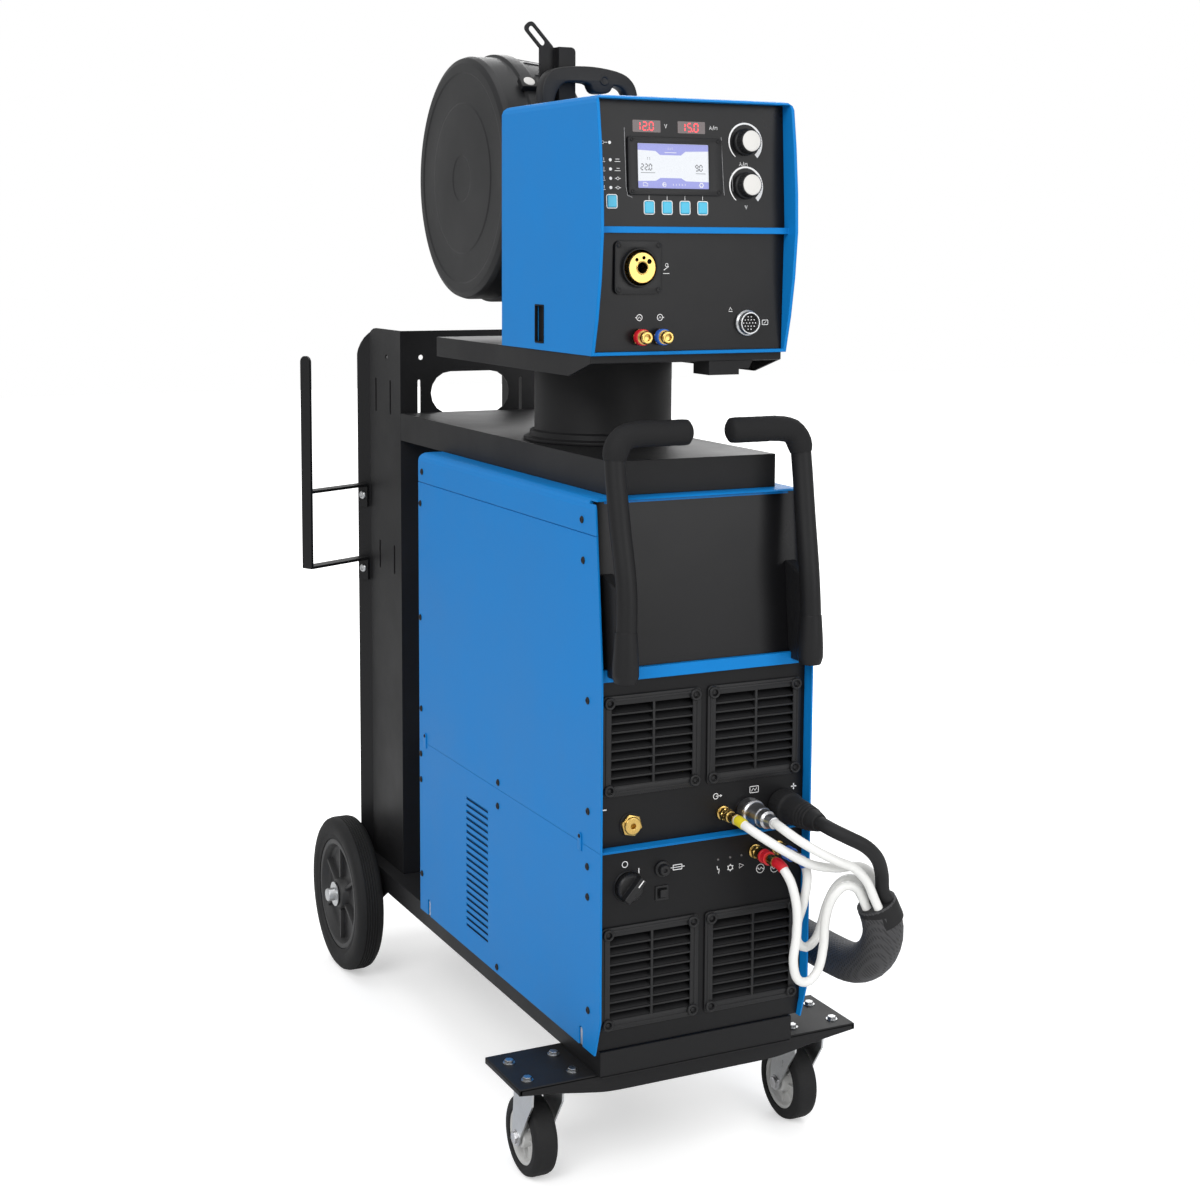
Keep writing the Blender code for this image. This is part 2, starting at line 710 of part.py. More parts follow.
def make_power_casing():
    low, high = SEAM_Z + GAP / 2, POWER_TOP
    side = [
        (0, low), (CASE_DEPTH, low), (CASE_DEPTH, high), (CASE_LEAN, high), (0, STRIPE_Z + STRIPE_H),
    ]
    casing = flat("power_casing", [side], -CASE_HALF, CASE_HALF, "X")
    bevelled(casing, CASE_ROUND, 4, lambda p: p.z > high - 1e-5 and abs(p.x) > CASE_HALF - 1e-5)
    inner = CASE_HALF - SKIN
    back = RECESS + PANEL_T + GAP
    split = STRIPE_Z + STRIPE_H / 2
    lower = [
        (-0.01, low + 0.001), (back, low + 0.001), (back, low + 0.055), (CAVITY, low + 0.055),
        (CAVITY, split - 0.024), (back, split - 0.024), (back, split), (-0.01, split),
    ]
    upper = [
        (-0.01, split - 0.001), (back, split - 0.001), (back, STRIPE_Z + STRIPE_H),
        (back + lean_at(high - 0.003), high - 0.003), (-0.01, high - 0.003),
    ]
    cutters = [
        flat("pocket", [lower], -inner, inner, "X"),
        flat("pocket", [upper], -inner, inner, "X"),
        *rear_slots((low + high) / 2),
    ]
    crease = 0.0012
    for sign in (-1, 1):
        x0, x1 = sorted((sign * (CASE_HALF - crease), sign * (CASE_HALF + 0.01)))
        cutters.append(box("crease", (x0, -0.01, 0.806), (x1, CASE_DEPTH + 0.01, 0.806 + crease)))
    casing = cut(casing, *cutters)
    stripe = box("stripe", (-CASE_HALF + SKIN / 2, 0.010, STRIPE_Z),
                 (CASE_HALF - SKIN / 2, back + 0.002, STRIPE_Z + STRIPE_H))
    keep(fuse(casing, stripe), BLUE)


GRILLE_ASIDE = 0.0063  # between a grille frame and the side panel beside it
GRILLE_IN = 0.0045  # inner edge of each grille frame, from the middle
GRILLE_OUT = CASE_HALF - SKIN - GRILLE_ASIDE
GRILLE_T = 0.005
GRILLE_STANDS = 0.0028  # how far the frame stands in front of the panel
COOLER_GRILLE = (0.206, 0.334)
POWER_GRILLE = (0.494, 0.616)


def make_grilles(name, low, high, rows):
    """Two moulded frames on one backing strip, each with rows of slots either side of a middle rib."""
    front = RECESS - GRILLE_STANDS
    back = RECESS - GAP
    edge = 0.012
    pitch = (high - low - 2 * edge) / rows
    grille = box(name, (-GRILLE_OUT, front, low), (GRILLE_OUT, back, high))
    cutters = [box("channel", (-GRILLE_IN, front - 0.01, low - 0.01),
                   (GRILLE_IN, back - 0.0012, high + 0.01))]
    for sign in (-1, 1):
        x0, x1 = sorted((sign * GRILLE_IN, sign * GRILLE_OUT))
        middle = (x0 + x1) / 2
        for k in range(rows):
            z0 = low + edge + pitch * (k + 0.20)
            z1 = low + edge + pitch * (k + 0.84)
            for a, b in ((x0 + edge, middle - 0.0015), (middle + 0.0015, x1 - edge)):
                cutters.append(box("slot", (a, front - 0.01, z0), (b, back + 0.01, z1)))
    keep(cut(grille, *cutters), PLASTIC)


def grille_windows(low, high):
    """Cutters for the openings that the grilles cover."""
    inset = 0.009
    return [
        box("window", (min(s * GRILLE_IN, s * GRILLE_OUT) + inset, -0.01, low + inset),
            (max(s * GRILLE_IN, s * GRILLE_OUT) - inset, 0.05, high - inset))
        for s in (-1, 1)
    ]


def make_cooler_front():
    low, high = COOLER_Z + 0.0015, SEAM_Z - GAP - 0.001
    bend = COOLER_GRILLE[0] - 0.002
    side = [
        (RECESS, high), (RECESS, bend), (RECESS + 0.006, low), (RECESS + PANEL_T + 0.006, low),
        (RECESS + PANEL_T, bend), (RECESS + PANEL_T, high),
    ]
    inner = CASE_HALF - SKIN - GAP
    panel = flat("cooler_front", [side], -inner, inner, "X")
    holes = [
        rod("hole", (SWITCH_X, -0.01, SWITCH_Z), (SWITCH_X, 0.05, SWITCH_Z), 0.0066, 16),
        box("hole", (-0.063, RECESS + 0.0015, 0.359), (-0.047, 0.05, 0.375)),
    ]
    keep(cut(panel, *grille_windows(*COOLER_GRILLE), *holes), PLASTIC)


def make_power_fronts():
    inner = CASE_HALF - SKIN - GAP
    low = SEAM_Z + GAP / 2 + 0.001 + GAP
    lower = box("power_front_lower", (-inner, RECESS, low), (inner, RECESS + PANEL_T, STRIPE_Z - GAP))
    keep(cut(lower, *grille_windows(*POWER_GRILLE)), PLASTIC)
    low, high = STRIPE_Z + STRIPE_H + GAP, POWER_TOP - 0.0035
    outline = [(-inner, low), (inner, low), *arc(inner - 0.010, high - 0.010, 0.010, 0, 90, 4),
               *arc(-inner + 0.010, high - 0.010, 0.010, 90, 180, 4)]
    upper = flat("power_front_upper", [outline], RECESS, RECESS + PANEL_T, "Y")
    keep(leaned(upper), PLASTIC)


# ================================================================ fittings on the fronts
SWITCH_X, SWITCH_Z = -0.100, 0.381
SWITCH_R = 0.018
HOSE_R = 0.0056
COUPLING_R = 0.0075
RED_X, BLUE_X, WATER_Z = 0.074, 0.107, 0.402
GAS_X, GAS_Z = 0.028, 0.456
CONTROL_X, CONTROL_Z = 0.062, 0.456
PLUG_X, PLUG_Z = 0.112, 0.456
CABLE_R = 0.0085
COUPLING_LENGTH = 0.050
GAS_LENGTH = 0.034
CONTROL_LENGTH = 0.066
PLUG_LENGTH = 0.088


def make_switch():
    spin = pivot("cooler_switch_axis", (SWITCH_X, RECESS, SWITCH_Z))
    front = RECESS - RUNNING
    dial = turned(
        "cooler_switch",
        [(0, 0.009), (SWITCH_R - 0.003, 0.009), (SWITCH_R, 0.006), (SWITCH_R, 0.0), (0.006, 0.0),
         (0.006, -0.010), (0, -0.010)],
        (SWITCH_X, front, SWITCH_Z), (0, -1, 0), 24,
    )
    bar = box("grip", (SWITCH_X - 0.0045, front - 0.019, SWITCH_Z - 0.0165),
              (SWITCH_X + 0.0045, front - 0.005, SWITCH_Z + 0.0165))
    bevelled(bar, 0.002, 2, lambda p: p.y < front - 0.015)
    dial = fuse(dial, bar)
    turned_about(dial, math.radians(42), "Y", (SWITCH_X, 0, SWITCH_Z))
    keep(dial, PLASTIC, spin)


def make_fuse_holder():
    profile = [(0, 0.010), (0.006, 0.010), (0.007, 0.008), (0.007, 0.003), (0.010, 0.002), (0.010, 0.0),
               (0, 0.0)]
    keep(turned("fuse_holder", profile, (-0.055, RECESS - GAP, 0.397), (0, -1, 0), 12), PLASTIC)


def make_coupling(name, x, z, length):
    """A hose nipple: flange, collar, body and ferrule, from the panel outwards."""
    profile = [
        (0, length), (HOSE_R + 0.0012, length), (HOSE_R + 0.0012, length - 0.012),
        (COUPLING_R, length - 0.014),
        (COUPLING_R, 0.012), (0.0090, 0.011), (0.0090, 0.0), (0, 0.0),
    ]
    keep(turned(name, profile, (x, RECESS - GAP, z), (0, -1, 0), 12), BRASS)


def make_power_fittings():
    face = RECESS - GAP
    control = turned(
        "control_plug",
        [(0, CONTROL_LENGTH), (HOSE_R + 0.002, CONTROL_LENGTH), (0.009, CONTROL_LENGTH - 0.020),
         (0.0125, CONTROL_LENGTH - 0.024),
         (0.0135, 0.022), (0.0160, 0.020), (0.0160, 0.004), (0.0140, 0.003), (0.0140, 0.0), (0, 0.0)],
        (CONTROL_X, face, CONTROL_Z), (0, -1, 0), 16,
    )
    keep(control, ZINC)
    plug = turned(
        "power_plug",
        [(0, PLUG_LENGTH), (CABLE_R + 0.0025, PLUG_LENGTH), (0.0150, PLUG_LENGTH - 0.012),
         (0.0165, PLUG_LENGTH - 0.016),
         (0.0165, PLUG_LENGTH - 0.020), (0.0150, PLUG_LENGTH - 0.022), (0.0150, PLUG_LENGTH - 0.028),
         (0.0165, PLUG_LENGTH - 0.030),
         (0.0175, 0.028), (0.0200, 0.024), (0.0200, 0.0), (0, 0.0)],
        (PLUG_X, face, PLUG_Z), (0, -1, 0), 16,
    )
    keep(plug, RUBBER)
    socket = [
        (0, 0.0055), (0.0035, 0.0055), (0.0035, 0.008), (0.0105, 0.008), (0.0115, 0.006), (0.0115, 0.001),
        (0.0150, 0.001),
        (0.0150, 0.0), (0, 0.0),
    ]
    keep(turned("negative_socket", socket, (-0.098, face, PLUG_Z + 0.001), (0, -1, 0), 12), BRASS)


# ================================================================ handles
def handle_line(foot_z):
    """The middle of the left handle's tube, from its foot to the free end of the grip."""
    x = -HANDLE_X
    return smooth_path([
        (x, -0.0225, foot_z), (x, -0.0235, 0.690), (x + 0.0015, -0.0200, 0.750), (x, -0.0060, 0.820),
        (x - 0.001, 0.0050, 0.880),
        (x + 0.001, 0.0085, 0.906), (x + 0.012, 0.0100, GRIP_Z - 0.004), (x + 0.034, 0.0100, GRIP_Z),
        (-0.070, 0.0100, GRIP_Z),
        (-GRIP_END_X - 0.003, 0.0100, GRIP_Z),
    ], 0.019)


def make_handles():
    """Two inverted L handles; each tube stands on a moulded foot in front of the panel."""
    line = handle_line(HANDLE_FOOT_Z + 0.006)
    pipe = tube("handle", line, HANDLE_R, 2)
    face = RECESS - GAP
    x = -HANDLE_X
    foot = flat("foot",
                [round_rectangle(x - 0.0165, HANDLE_FOOT_Z, x + 0.0165, HANDLE_FOOT_Z + 0.026, 0.005, 3)],
                -0.0365, 0.0095, "Y")
    top_z = 0.762
    wedge = flat("wedge",
                 [[(-0.0225, HANDLE_FOOT_Z + 0.010), (0.0095, HANDLE_FOOT_Z + 0.010),
                   (0.0095, STRIPE_Z + STRIPE_H),
                            (face, STRIPE_Z + STRIPE_H + 0.004), (face + lean_at(top_z), top_z),
                            (-0.014, top_z - 0.012)]],
                 x - 0.0085, x + 0.0085, "X")
    left = fuse(pipe, foot, wedge)
    left.name = "handle_left"
    right = mirrored(left, "handle_right")
    grip_start = next(k for k, p in enumerate(line) if p.z > GRIP_Z - 0.032)
    grip_line = line[grip_start:]
    tip = grip_line[-1] + Vector((0.0032, 0, 0))
    grip = tube("grip", grip_line + [tip], GRIP_R, 2)
    core = tube("core", [*line, line[-1] + Vector((GAP, 0, 0))], HANDLE_R + GAP, 2)
    grip = cut(grip, core)
    grip.name = "grip_left"
    other = mirrored(grip, "grip_right")
    for piece, finish in ((left, BLACK), (right, BLACK), (grip, RUBBER), (other, RUBBER)):
        keep(piece, finish)


# ================================================================ turntable, deck and feeder
def make_post():
    """The hollow fixed column, open at the back for the hose bundle, with the bearing bore in its top."""
    low, top = SHELF_TOP + GAP, DECK_TOP - DECK_T - RUNNING
    inner = POST_R - POST_WALL
    profile = [
        (PIVOT_R + RUNNING, top), (POST_R, top), (POST_R, low + 0.014), (POST_R + 0.006, low + 0.012),
        (POST_R + 0.006, low + 0.006),
        (POST_R + 0.014, low + 0.004), (POST_R + 0.014, low), (inner, low), (inner, top - 0.004),
        (PIVOT_R + RUNNING, top - 0.004),
    ]
    post = turned("swivel_post", profile, (0, POST_Y, 0), (0, 0, 1), 28, closed=True)
    end = ENTRY_DIR
    hole_start = Vector((0, POST_Y, ENTRY_Z)) + end * (POST_R - 0.03)
    hole = rod("entry", hole_start, hole_start + end * 0.09, SLEEVE_R + RUNNING, 20)
    collar = rod("collar", hole_start + end * 0.012, hole_start + end * 0.048, SLEEVE_R + COLLAR, 20)
    core = rod("core", (0, POST_Y, low - 0.01), (0, POST_Y, top - 0.010), inner - 0.0005, 32)
    keep(cut(fuse(post, cut(collar, core)), hole), BLACK)


def make_deck(swivel):
    low = DECK_TOP - DECK_FLANGE
    front_low = DECK_TOP - 0.009
    side = [(DECK_FRONT, DECK_TOP), (DECK_FRONT, front_low), (DECK_FRONT + 0.060, low), (DECK_BACK, low),
            (DECK_BACK, DECK_TOP)]
    deck = flat("upper_shelf", [side], -DECK_HALF, DECK_HALF, "X")
    inner = DECK_HALF - DECK_T
    inside = box("inside", (-inner, DECK_FRONT + DECK_T, 0), (inner, DECK_BACK - DECK_T, DECK_TOP - DECK_T))
    deck = cut(deck, inside)
    block = [(0.030, DECK_TOP - 0.002), (0.030, DECK_TOP - 0.0265), (0.072, DECK_TOP - 0.0265),
             (0.072, DECK_TOP - 0.0195), (0.086, DECK_TOP - 0.0195), (0.095, DECK_TOP - 0.002)]
    stop = flat("stop_block", [block], DECK_FRONT + 0.001, DECK_FRONT + 0.040, "Y")
    spigot = rod("spigot", (0, POST_Y, DECK_TOP - DECK_T - 0.024), (0, POST_Y, DECK_TOP - 0.0005),
                 PIVOT_R, 32)
    deck = fuse(deck, stop, spigot)
    bore = rod("bore", (0, POST_Y, DECK_TOP - 0.0535), (0, POST_Y, DECK_TOP + 0.0365),
               PIVOT_R - 0.004, 32)
    keep(cut(deck, bore), BLACK, swivel)


def face_y(z):
    """The feeder's black face above the stripe."""
    return FEED_FACE_Y + (z - FEED_STRIPE_Z - FEED_STRIPE_H) * math.tan(FEED_LEAN)


def leaned_face(thing, z):
    """Turns a piece that was made square to -Y so that it stands square to the feeder's leaning face."""
    return turned_about(thing, -FEED_LEAN, "X", (0, face_y(z), z))


def make_feeder_casing(swivel):
    side = [
        (0.057, FEED_Z), (FEED_BACK, FEED_Z), (FEED_BACK, FEED_TOP), (0.048, FEED_TOP),
        (0.040, FEED_TOP - 0.054), (0.0345, FEED_STRIPE_Z + 0.0475), (0.033, FEED_STRIPE_Z + 0.0025),
        (0.038, FEED_STRIPE_Z - 0.0525), (0.046, FEED_Z + 0.0442),
    ]
    casing = flat("feeder_casing", [side], -FEED_HALF, FEED_HALF, "X")
    bevelled(casing, FEED_ROUND, 3, lambda p: p.z > FEED_TOP - 1e-5 and abs(p.x) > FEED_HALF - 1e-5)
    inner = FEED_HALF - 0.004
    pocket = box("pocket", (-inner, 0.0, FEED_Z + 0.004), (inner, FEED_PANEL_BACK, FEED_TOP - 0.004))
    slot = box("slot", (-FEED_HALF - 0.01, 0.1915, FEED_Z + 0.0092),
               (-FEED_HALF + 0.006, 0.2165, FEED_Z + 0.0552))
    casing = cut(casing, pocket, slot)
    stripe = box("stripe", (-FEED_HALF + 0.001, 0.0500, FEED_STRIPE_Z),
                 (FEED_HALF - 0.001, 0.0560, FEED_STRIPE_Z + FEED_STRIPE_H))
    keep(fuse(casing, stripe), BLUE, swivel)


BUTTONS = [(-0.106, FEED_STRIPE_Z + 0.0365)] + [(-0.057 + 0.024 * k, FEED_STRIPE_Z + 0.0300)
                                                 for k in range(4)]
BUTTON_W, BUTTON_H = 0.0140, 0.0150
BUTTON_TRAVEL = 0.0010
KNOB_X = 0.075
KNOBS = (FEED_STRIPE_Z + 0.1095, FEED_STRIPE_Z + 0.0575)
KNOB_R = 0.0165
SHAFT_R = 0.003
SOCKET_BORE = 0.0065  # for the torch plug's wire guide
SOCKET_Z = FEED_STRIPE_Z - 0.0405


def make_feeder_front(swivel):
    inner = FEED_HALF - 0.004 - GAP
    low, high = FEED_Z + 0.004 + GAP, FEED_TOP - 0.004 - GAP
    under, over = FEED_STRIPE_Z, FEED_STRIPE_Z + FEED_STRIPE_H
    back = FEED_PANEL_BACK - GAP
    side = [(0.0620, low), (0.0590, under), (face_y(over), over), (face_y(high), high), (back, high),
            (back, low)]
    panel = flat("feeder_front", [side], -inner, inner, "X")
    cutters = []
    for x, z in BUTTONS:
        y = face_y(z)
        half_w, half_h = BUTTON_W / 2 + GAP, BUTTON_H / 2 + GAP
        cutters.append(leaned_face(box("key_hole", (x - half_w, y - 0.01, z - half_h),
                                       (x + half_w, y + 0.0055, z + half_h)), z))
    for z in KNOBS:
        y = face_y(z)
        cutters.append(leaned_face(rod("shaft_hole", (KNOB_X, y - 0.01, z), (KNOB_X, y + 0.0050, z),
                                       SHAFT_R + RUNNING / 2, 12), z))
    cutters.append(rod("socket_hole", (-0.072, 0.0, SOCKET_Z), (-0.072, 0.0665, SOCKET_Z), 0.0225, 24))
    keep(cut(panel, *cutters), PLASTIC, swivel)


def make_display(swivel):
    """The bezel, with the screen set back in its window."""
    z = FEED_STRIPE_Z + 0.0785
    y = face_y(z) - GAP
    outer = round_rectangle(-0.085, z - 0.034, 0.041, z + 0.034, 0.003, 2)
    window = rectangle(-0.072, z - 0.026, 0.023, z + 0.026)
    bezel = flat("display", [outer], y - 0.0035, y, "Y")
    glass = flat("glass", [window], y - 0.02, y - 0.0020, "Y")
    bezel = cut(bezel, glass)
    keep(leaned_face(bezel, z), PLASTIC, swivel)


def make_buttons(swivel):
    for k, (x, z) in enumerate(BUTTONS):
        y = face_y(z)
        key = box("button_%d" % (k + 1), (x - BUTTON_W / 2, y - 0.0016, z - BUTTON_H / 2),
                  (x + BUTTON_W / 2, y + 0.0040, z + BUTTON_H / 2))
        bevelled(key, 0.0008, 1, lambda p, front=y: p.y < front - 0.001)
        leaned_face(key, z)
        keep(key, CYAN, pivot("button_%d_slide" % (k + 1), (x, y, z), swivel))


def make_knobs(swivel):
    for name, z in zip(("wire_speed_knob", "voltage_knob"), KNOBS):
        y = face_y(z)
        profile = [
            (0, 0.0165), (0.0120, 0.0165), (0.0135, 0.0155), (0.0140, 0.0050), (KNOB_R, 0.0030),
            (KNOB_R, 0.0),
            (SHAFT_R, 0.0), (SHAFT_R, -0.0045), (0, -0.0045),
        ]
        knob = turned(name, profile, (KNOB_X, y - RUNNING / 2, z), (0, -1, 0), 14)
        leaned_face(knob, z)
        keep(knob, PLASTIC, pivot(name + "_axis", (KNOB_X, y, z), swivel))


def make_feeder_sockets(swivel):
    euro_y = 0.0590 - GAP
    outlines = [round_rectangle(-0.1035, SOCKET_Z - 0.0315, -0.0405, SOCKET_Z + 0.0315, 0.006, 2),
                circle(-0.072, SOCKET_Z, 0.0195, 24)]
    flange = flat("flange", outlines, euro_y - 0.0030, euro_y, "Y")
    socket = turned(
        "euro_socket",
        [
            (SOCKET_BORE, 0.0132), (0.0176, 0.0132), (0.0184, 0.0120), (0.0184, 0.004), (0.0210, 0.003),
            (0.0210, -0.003),
            (SOCKET_BORE, -0.003),
        ],
        (-0.072, euro_y, SOCKET_Z), (0, -1, 0), 24, closed=True,
    )
    keep(fuse(socket, flange), BRASS, swivel)
    face = 0.0610 - GAP
    coupling = [
        (0, 0.019), (0.0040, 0.019), (0.0040, 0.022), (0.0085, 0.022), (0.0095, 0.020), (0.0095, 0.010),
        (0.0075, 0.009),
        (0.0075, 0.004), (0.0100, 0.003), (0.0100, 0.0), (0, 0.0),
    ]
    for name, x in (("water_socket_red", -0.068), ("water_socket_blue", -0.040)):
        keep(turned(name, coupling, (x, face, FEED_Z + 0.0212), (0, -1, 0), 12), BRASS, swivel)
    remote = [
        (0, 0.004), (0.0105, 0.004), (0.0105, 0.010), (0.0135, 0.010), (0.0135, 0.003), (0.0160, 0.002),
        (0.0160, 0.0), (0, 0.0),
    ]
    keep(turned("remote_socket", remote, (0.079, face, FEED_Z + 0.0362), (0, -1, 0), 12), ZINC, swivel)


def make_carry_handle(swivel):
    """A broad moulded arch on the feeder's roof, thickened under its middle."""
    left, right = HANDLE_ENDS
    low = FEED_TOP + GAP
    middle = (left + right) / 2
    top = smooth_path([
        (left - 0.003, 0, low), (left - 0.004, 0, low + 0.022), (left + 0.003, 0, low + 0.0397),
        (left + 0.020, 0, low + 0.0492), (middle, 0, low + 0.0522), (right - 0.022, 0, low + 0.0462),
        (right - 0.003, 0, low + 0.0337),
        (right + 0.004, 0, low + 0.014),
        (right + 0.004, 0, low),
    ], 0.008)
    under = smooth_path([
        (right - 0.0110, 0, low), (right - 0.0115, 0, low + 0.012), (right - 0.0170, 0, low + 0.024),
        (right - 0.0300, 0, low + 0.0290), (right - 0.0360, 0, low + 0.0220),
        (right - 0.0420, 0, low + 0.0190),
        (right - 0.0560, 0, low + 0.0190), (right - 0.0620, 0, low + 0.0230),
        (right - 0.0680, 0, low + 0.0310),
        (left + 0.0300, 0, low + 0.0310), (left + 0.0190, 0, low + 0.0220), (left + 0.0140, 0, low + 0.010),
        (left + 0.0135, 0, low),
    ], 0.006)
    y = HANDLE_ROOF_Y
    outline = [(p.x, p.z) for p in top + under]
    arch = flat("carry_handle", [outline], y - 0.0105, y + 0.0105, "Y")
    feet = [
        box("foot", (x0, y - 0.0118, low), (x0 + 0.0210, y + 0.0118, low + 0.0046))
        for x0 in (left - 0.0050, right - 0.0150)
    ]
    keep(fuse(arch, *feet), PLASTIC, swivel)


def make_lifting_eye(swivel):
    """A cranked steel plate on the roof whose slanted tongue has an elongated eye for a crane hook."""
    low = FEED_TOP + GAP
    left, fold, right = EYE_EDGES
    back = FEED_BACK - 0.007
    front = back - EYE_STEP
    plate = flat("lifting_eye",
                 [strip([(left, back), (fold, back), (fold, front), (right, front)], EYE_T)], low,
                 EYE_TOP, "Z")
    corner = [
        (right - 0.006, EYE_TOP + 0.01), *reversed(arc(right - 0.006, EYE_TOP - 0.006, 0.006, 0, 90, 4)),
        (right + 0.01, EYE_TOP - 0.006), (right + 0.01, EYE_TOP + 0.01),
    ]
    plate = cut(plate, flat("corner", [corner], front - 0.01, front + EYE_T + 0.004, "Y"))
    foot = box("foot", (left + 0.0005, front + 0.0005, low - 0.0001), (right - 0.0005, back + EYE_T - 0.0005,
                                                              low + 0.004))
    ring = [round_rectangle(-0.008, -0.0077, 0.041, 0.0077, 0.0060, 4),
            round_rectangle(0.006, -0.0040, 0.036, 0.0040, 0.0039, 4)]
    tongue = flat("tongue", ring, back + 0.0002, back + EYE_T - 0.0002, "Y")
    turn = Matrix.Rotation(math.radians(-(180 - EYE_TILT)), 4, "Y")
    tongue.data.transform(Matrix.Translation(((left + fold) / 2, 0, EYE_TOP - 0.0015)) @ turn)
    keep(fuse(plate, foot, tongue), BLACK, swivel)


# ================================================================ spool drum
HINGE_R = 0.005


def make_drum(swivel):
    """The fixed half of the spool housing, with its spindle and the wall that carries it."""
    centre = (0, DRUM_Y, DRUM_Z)
    back_in = DRUM_BACK_X - DRUM_WALL
    shrink = 0.006
    profile = [
        (DRUM_R, DRUM_RIM_X + GAP), (DRUM_R, DRUM_RIM_X + DRUM_LIP + 0.004),
        (DRUM_R - shrink, DRUM_BACK_X - 0.010),
        (DRUM_R - shrink - 0.008, DRUM_BACK_X), (0, DRUM_BACK_X),
    ]
    inside = [
        (0, DRUM_FACE_X + 0.008), (SPINDLE_R - 0.002, DRUM_FACE_X + 0.008),
        (SPINDLE_R, DRUM_FACE_X + 0.010), (SPINDLE_R, back_in),
        (DRUM_R - shrink - DRUM_WALL - 0.006, back_in), (DRUM_R - shrink - DRUM_WALL, back_in - 0.008),
        (DRUM_R - DRUM_WALL, DRUM_RIM_X + DRUM_LIP + 0.004), (DRUM_R - DRUM_WALL, DRUM_RIM_X + GAP),
    ]
    ring = list(reversed(profile)) + [inside[-1]] + list(reversed(inside[:-1]))
    drum = turned("spool_drum", ring, centre, (1, 0, 0), DRUM_SIDES)
    wall_outline = [
        (FEED_BACK + GAP, DECK_TOP + GAP), (DECK_BACK - 0.02, DECK_TOP + GAP),
        (DRUM_Y + 0.110, DRUM_Z - 0.060), (DRUM_Y + 0.110, DRUM_Z + 0.050),
        (DRUM_Y + 0.050, DRUM_Z + 0.100), (DRUM_Y - 0.040, DRUM_Z + 0.100),
        (FEED_BACK + GAP, DRUM_Z + 0.060),
    ]
    wall = flat("wall", [wall_outline], DRUM_BACK_X - 0.001, DRUM_BACK_X + 0.004, "X")
    foot = box("foot", (DRUM_BACK_X - 0.001, FEED_BACK + GAP, DECK_TOP + GAP),
               (DRUM_BACK_X + 0.040, DECK_BACK - 0.02, DECK_TOP + 0.004))
    hinge_y = DRUM_Y + DRUM_R + DRUM_WALL + 0.006
    hinge_x = DRUM_RIM_X + DRUM_LIP
    knuckle = rod("knuckle", (hinge_x, hinge_y, DRUM_Z - 0.010), (hinge_x, hinge_y, DRUM_Z + 0.010),
                  HINGE_R, 12)
    leaf = box("leaf", (hinge_x + 0.001, DRUM_Y + DRUM_R - 0.003, DRUM_Z - 0.010),
               (hinge_x + 0.016, hinge_y + 0.002, DRUM_Z + 0.010))
    arm = box("arm", (hinge_x, hinge_y - 0.002, DRUM_Z - 0.010),
              (hinge_x + 0.016, hinge_y + 0.003, DRUM_Z + 0.010))
    drum = fuse(drum, wall, foot, leaf, arm, knuckle)
    keep(drum, GREY, swivel)


def make_spool_cover(swivel):
    hinge_y = DRUM_Y + DRUM_R + DRUM_WALL + 0.006
    hinge_x = DRUM_RIM_X + DRUM_LIP
    hinge = pivot("spool_cover_hinge", (hinge_x, hinge_y, DRUM_Z), swivel)
    lip_in = DRUM_R + RUNNING
    lip_out = lip_in + DRUM_WALL
    face = DRUM_FACE_X
    profile = [
        (0, face), (DRUM_R - 0.008, face), (DRUM_R, face + 0.008), (DRUM_R, DRUM_RIM_X - 0.003),
        (lip_out, DRUM_RIM_X - 0.001),
        (lip_out, DRUM_RIM_X + DRUM_LIP), (lip_in, DRUM_RIM_X + DRUM_LIP), (lip_in, DRUM_RIM_X),
        (DRUM_R - DRUM_WALL, DRUM_RIM_X - 0.001),
        (DRUM_R - DRUM_WALL, face + 0.010), (DRUM_R - 0.012, face + DRUM_WALL), (0, face + DRUM_WALL),
    ]
    cover = turned("spool_cover", list(reversed(profile)), (0, DRUM_Y, DRUM_Z), (1, 0, 0), DRUM_SIDES)
    lugs = []
    for sign in (-1, 1):
        z0, z1 = sorted((DRUM_Z + sign * (0.010 + RUNNING), DRUM_Z + sign * 0.030))
        lugs.append(rod("knuckle", (hinge_x, hinge_y, z0), (hinge_x, hinge_y, z1), HINGE_R, 12))
        lugs.append(box("leaf", (hinge_x - 0.012, DRUM_Y + lip_in + 0.001, z0),
                        (hinge_x - 0.0005, hinge_y + 0.003, z1)))
    angle = math.radians(48)
    latch_y = DRUM_Y - (lip_out + 0.004) * math.cos(angle)
    latch_z = DRUM_Z + (lip_out + 0.004) * math.sin(angle)
    latch = box("latch", (DRUM_RIM_X - 0.010, -0.010, -0.006), (DRUM_RIM_X + DRUM_LIP, 0.010, 0.004))
    latch.data.transform(Matrix.Translation((0, latch_y,
                                             latch_z)) @ Matrix.Rotation(math.radians(90 - 48), 4, "X"))
    cover = fuse(cover, *lugs, latch)
    keep(cover, GREY, hinge)


def make_spool(swivel):
    axis = pivot("spool_axis", (0, DRUM_Y, DRUM_Z), swivel)
    left, right = DRUM_FACE_X + 0.012, DRUM_BACK_X - DRUM_WALL - 0.006
    flange = 0.003
    wire_r = SPOOL_R - 0.018
    profile = [
        (SPOOL_BORE, left), (SPOOL_R, left), (SPOOL_R, left + flange), (wire_r, left + flange),
        (wire_r, right - flange),
        (SPOOL_R - 0.004, right - flange), (SPOOL_R - 0.004, right), (SPOOL_BORE, right),
    ]
    keep(turned("wire_spool", list(reversed(profile)), (0, DRUM_Y, DRUM_Z), (1, 0, 0), 24, closed=True),
         COPPER, axis)


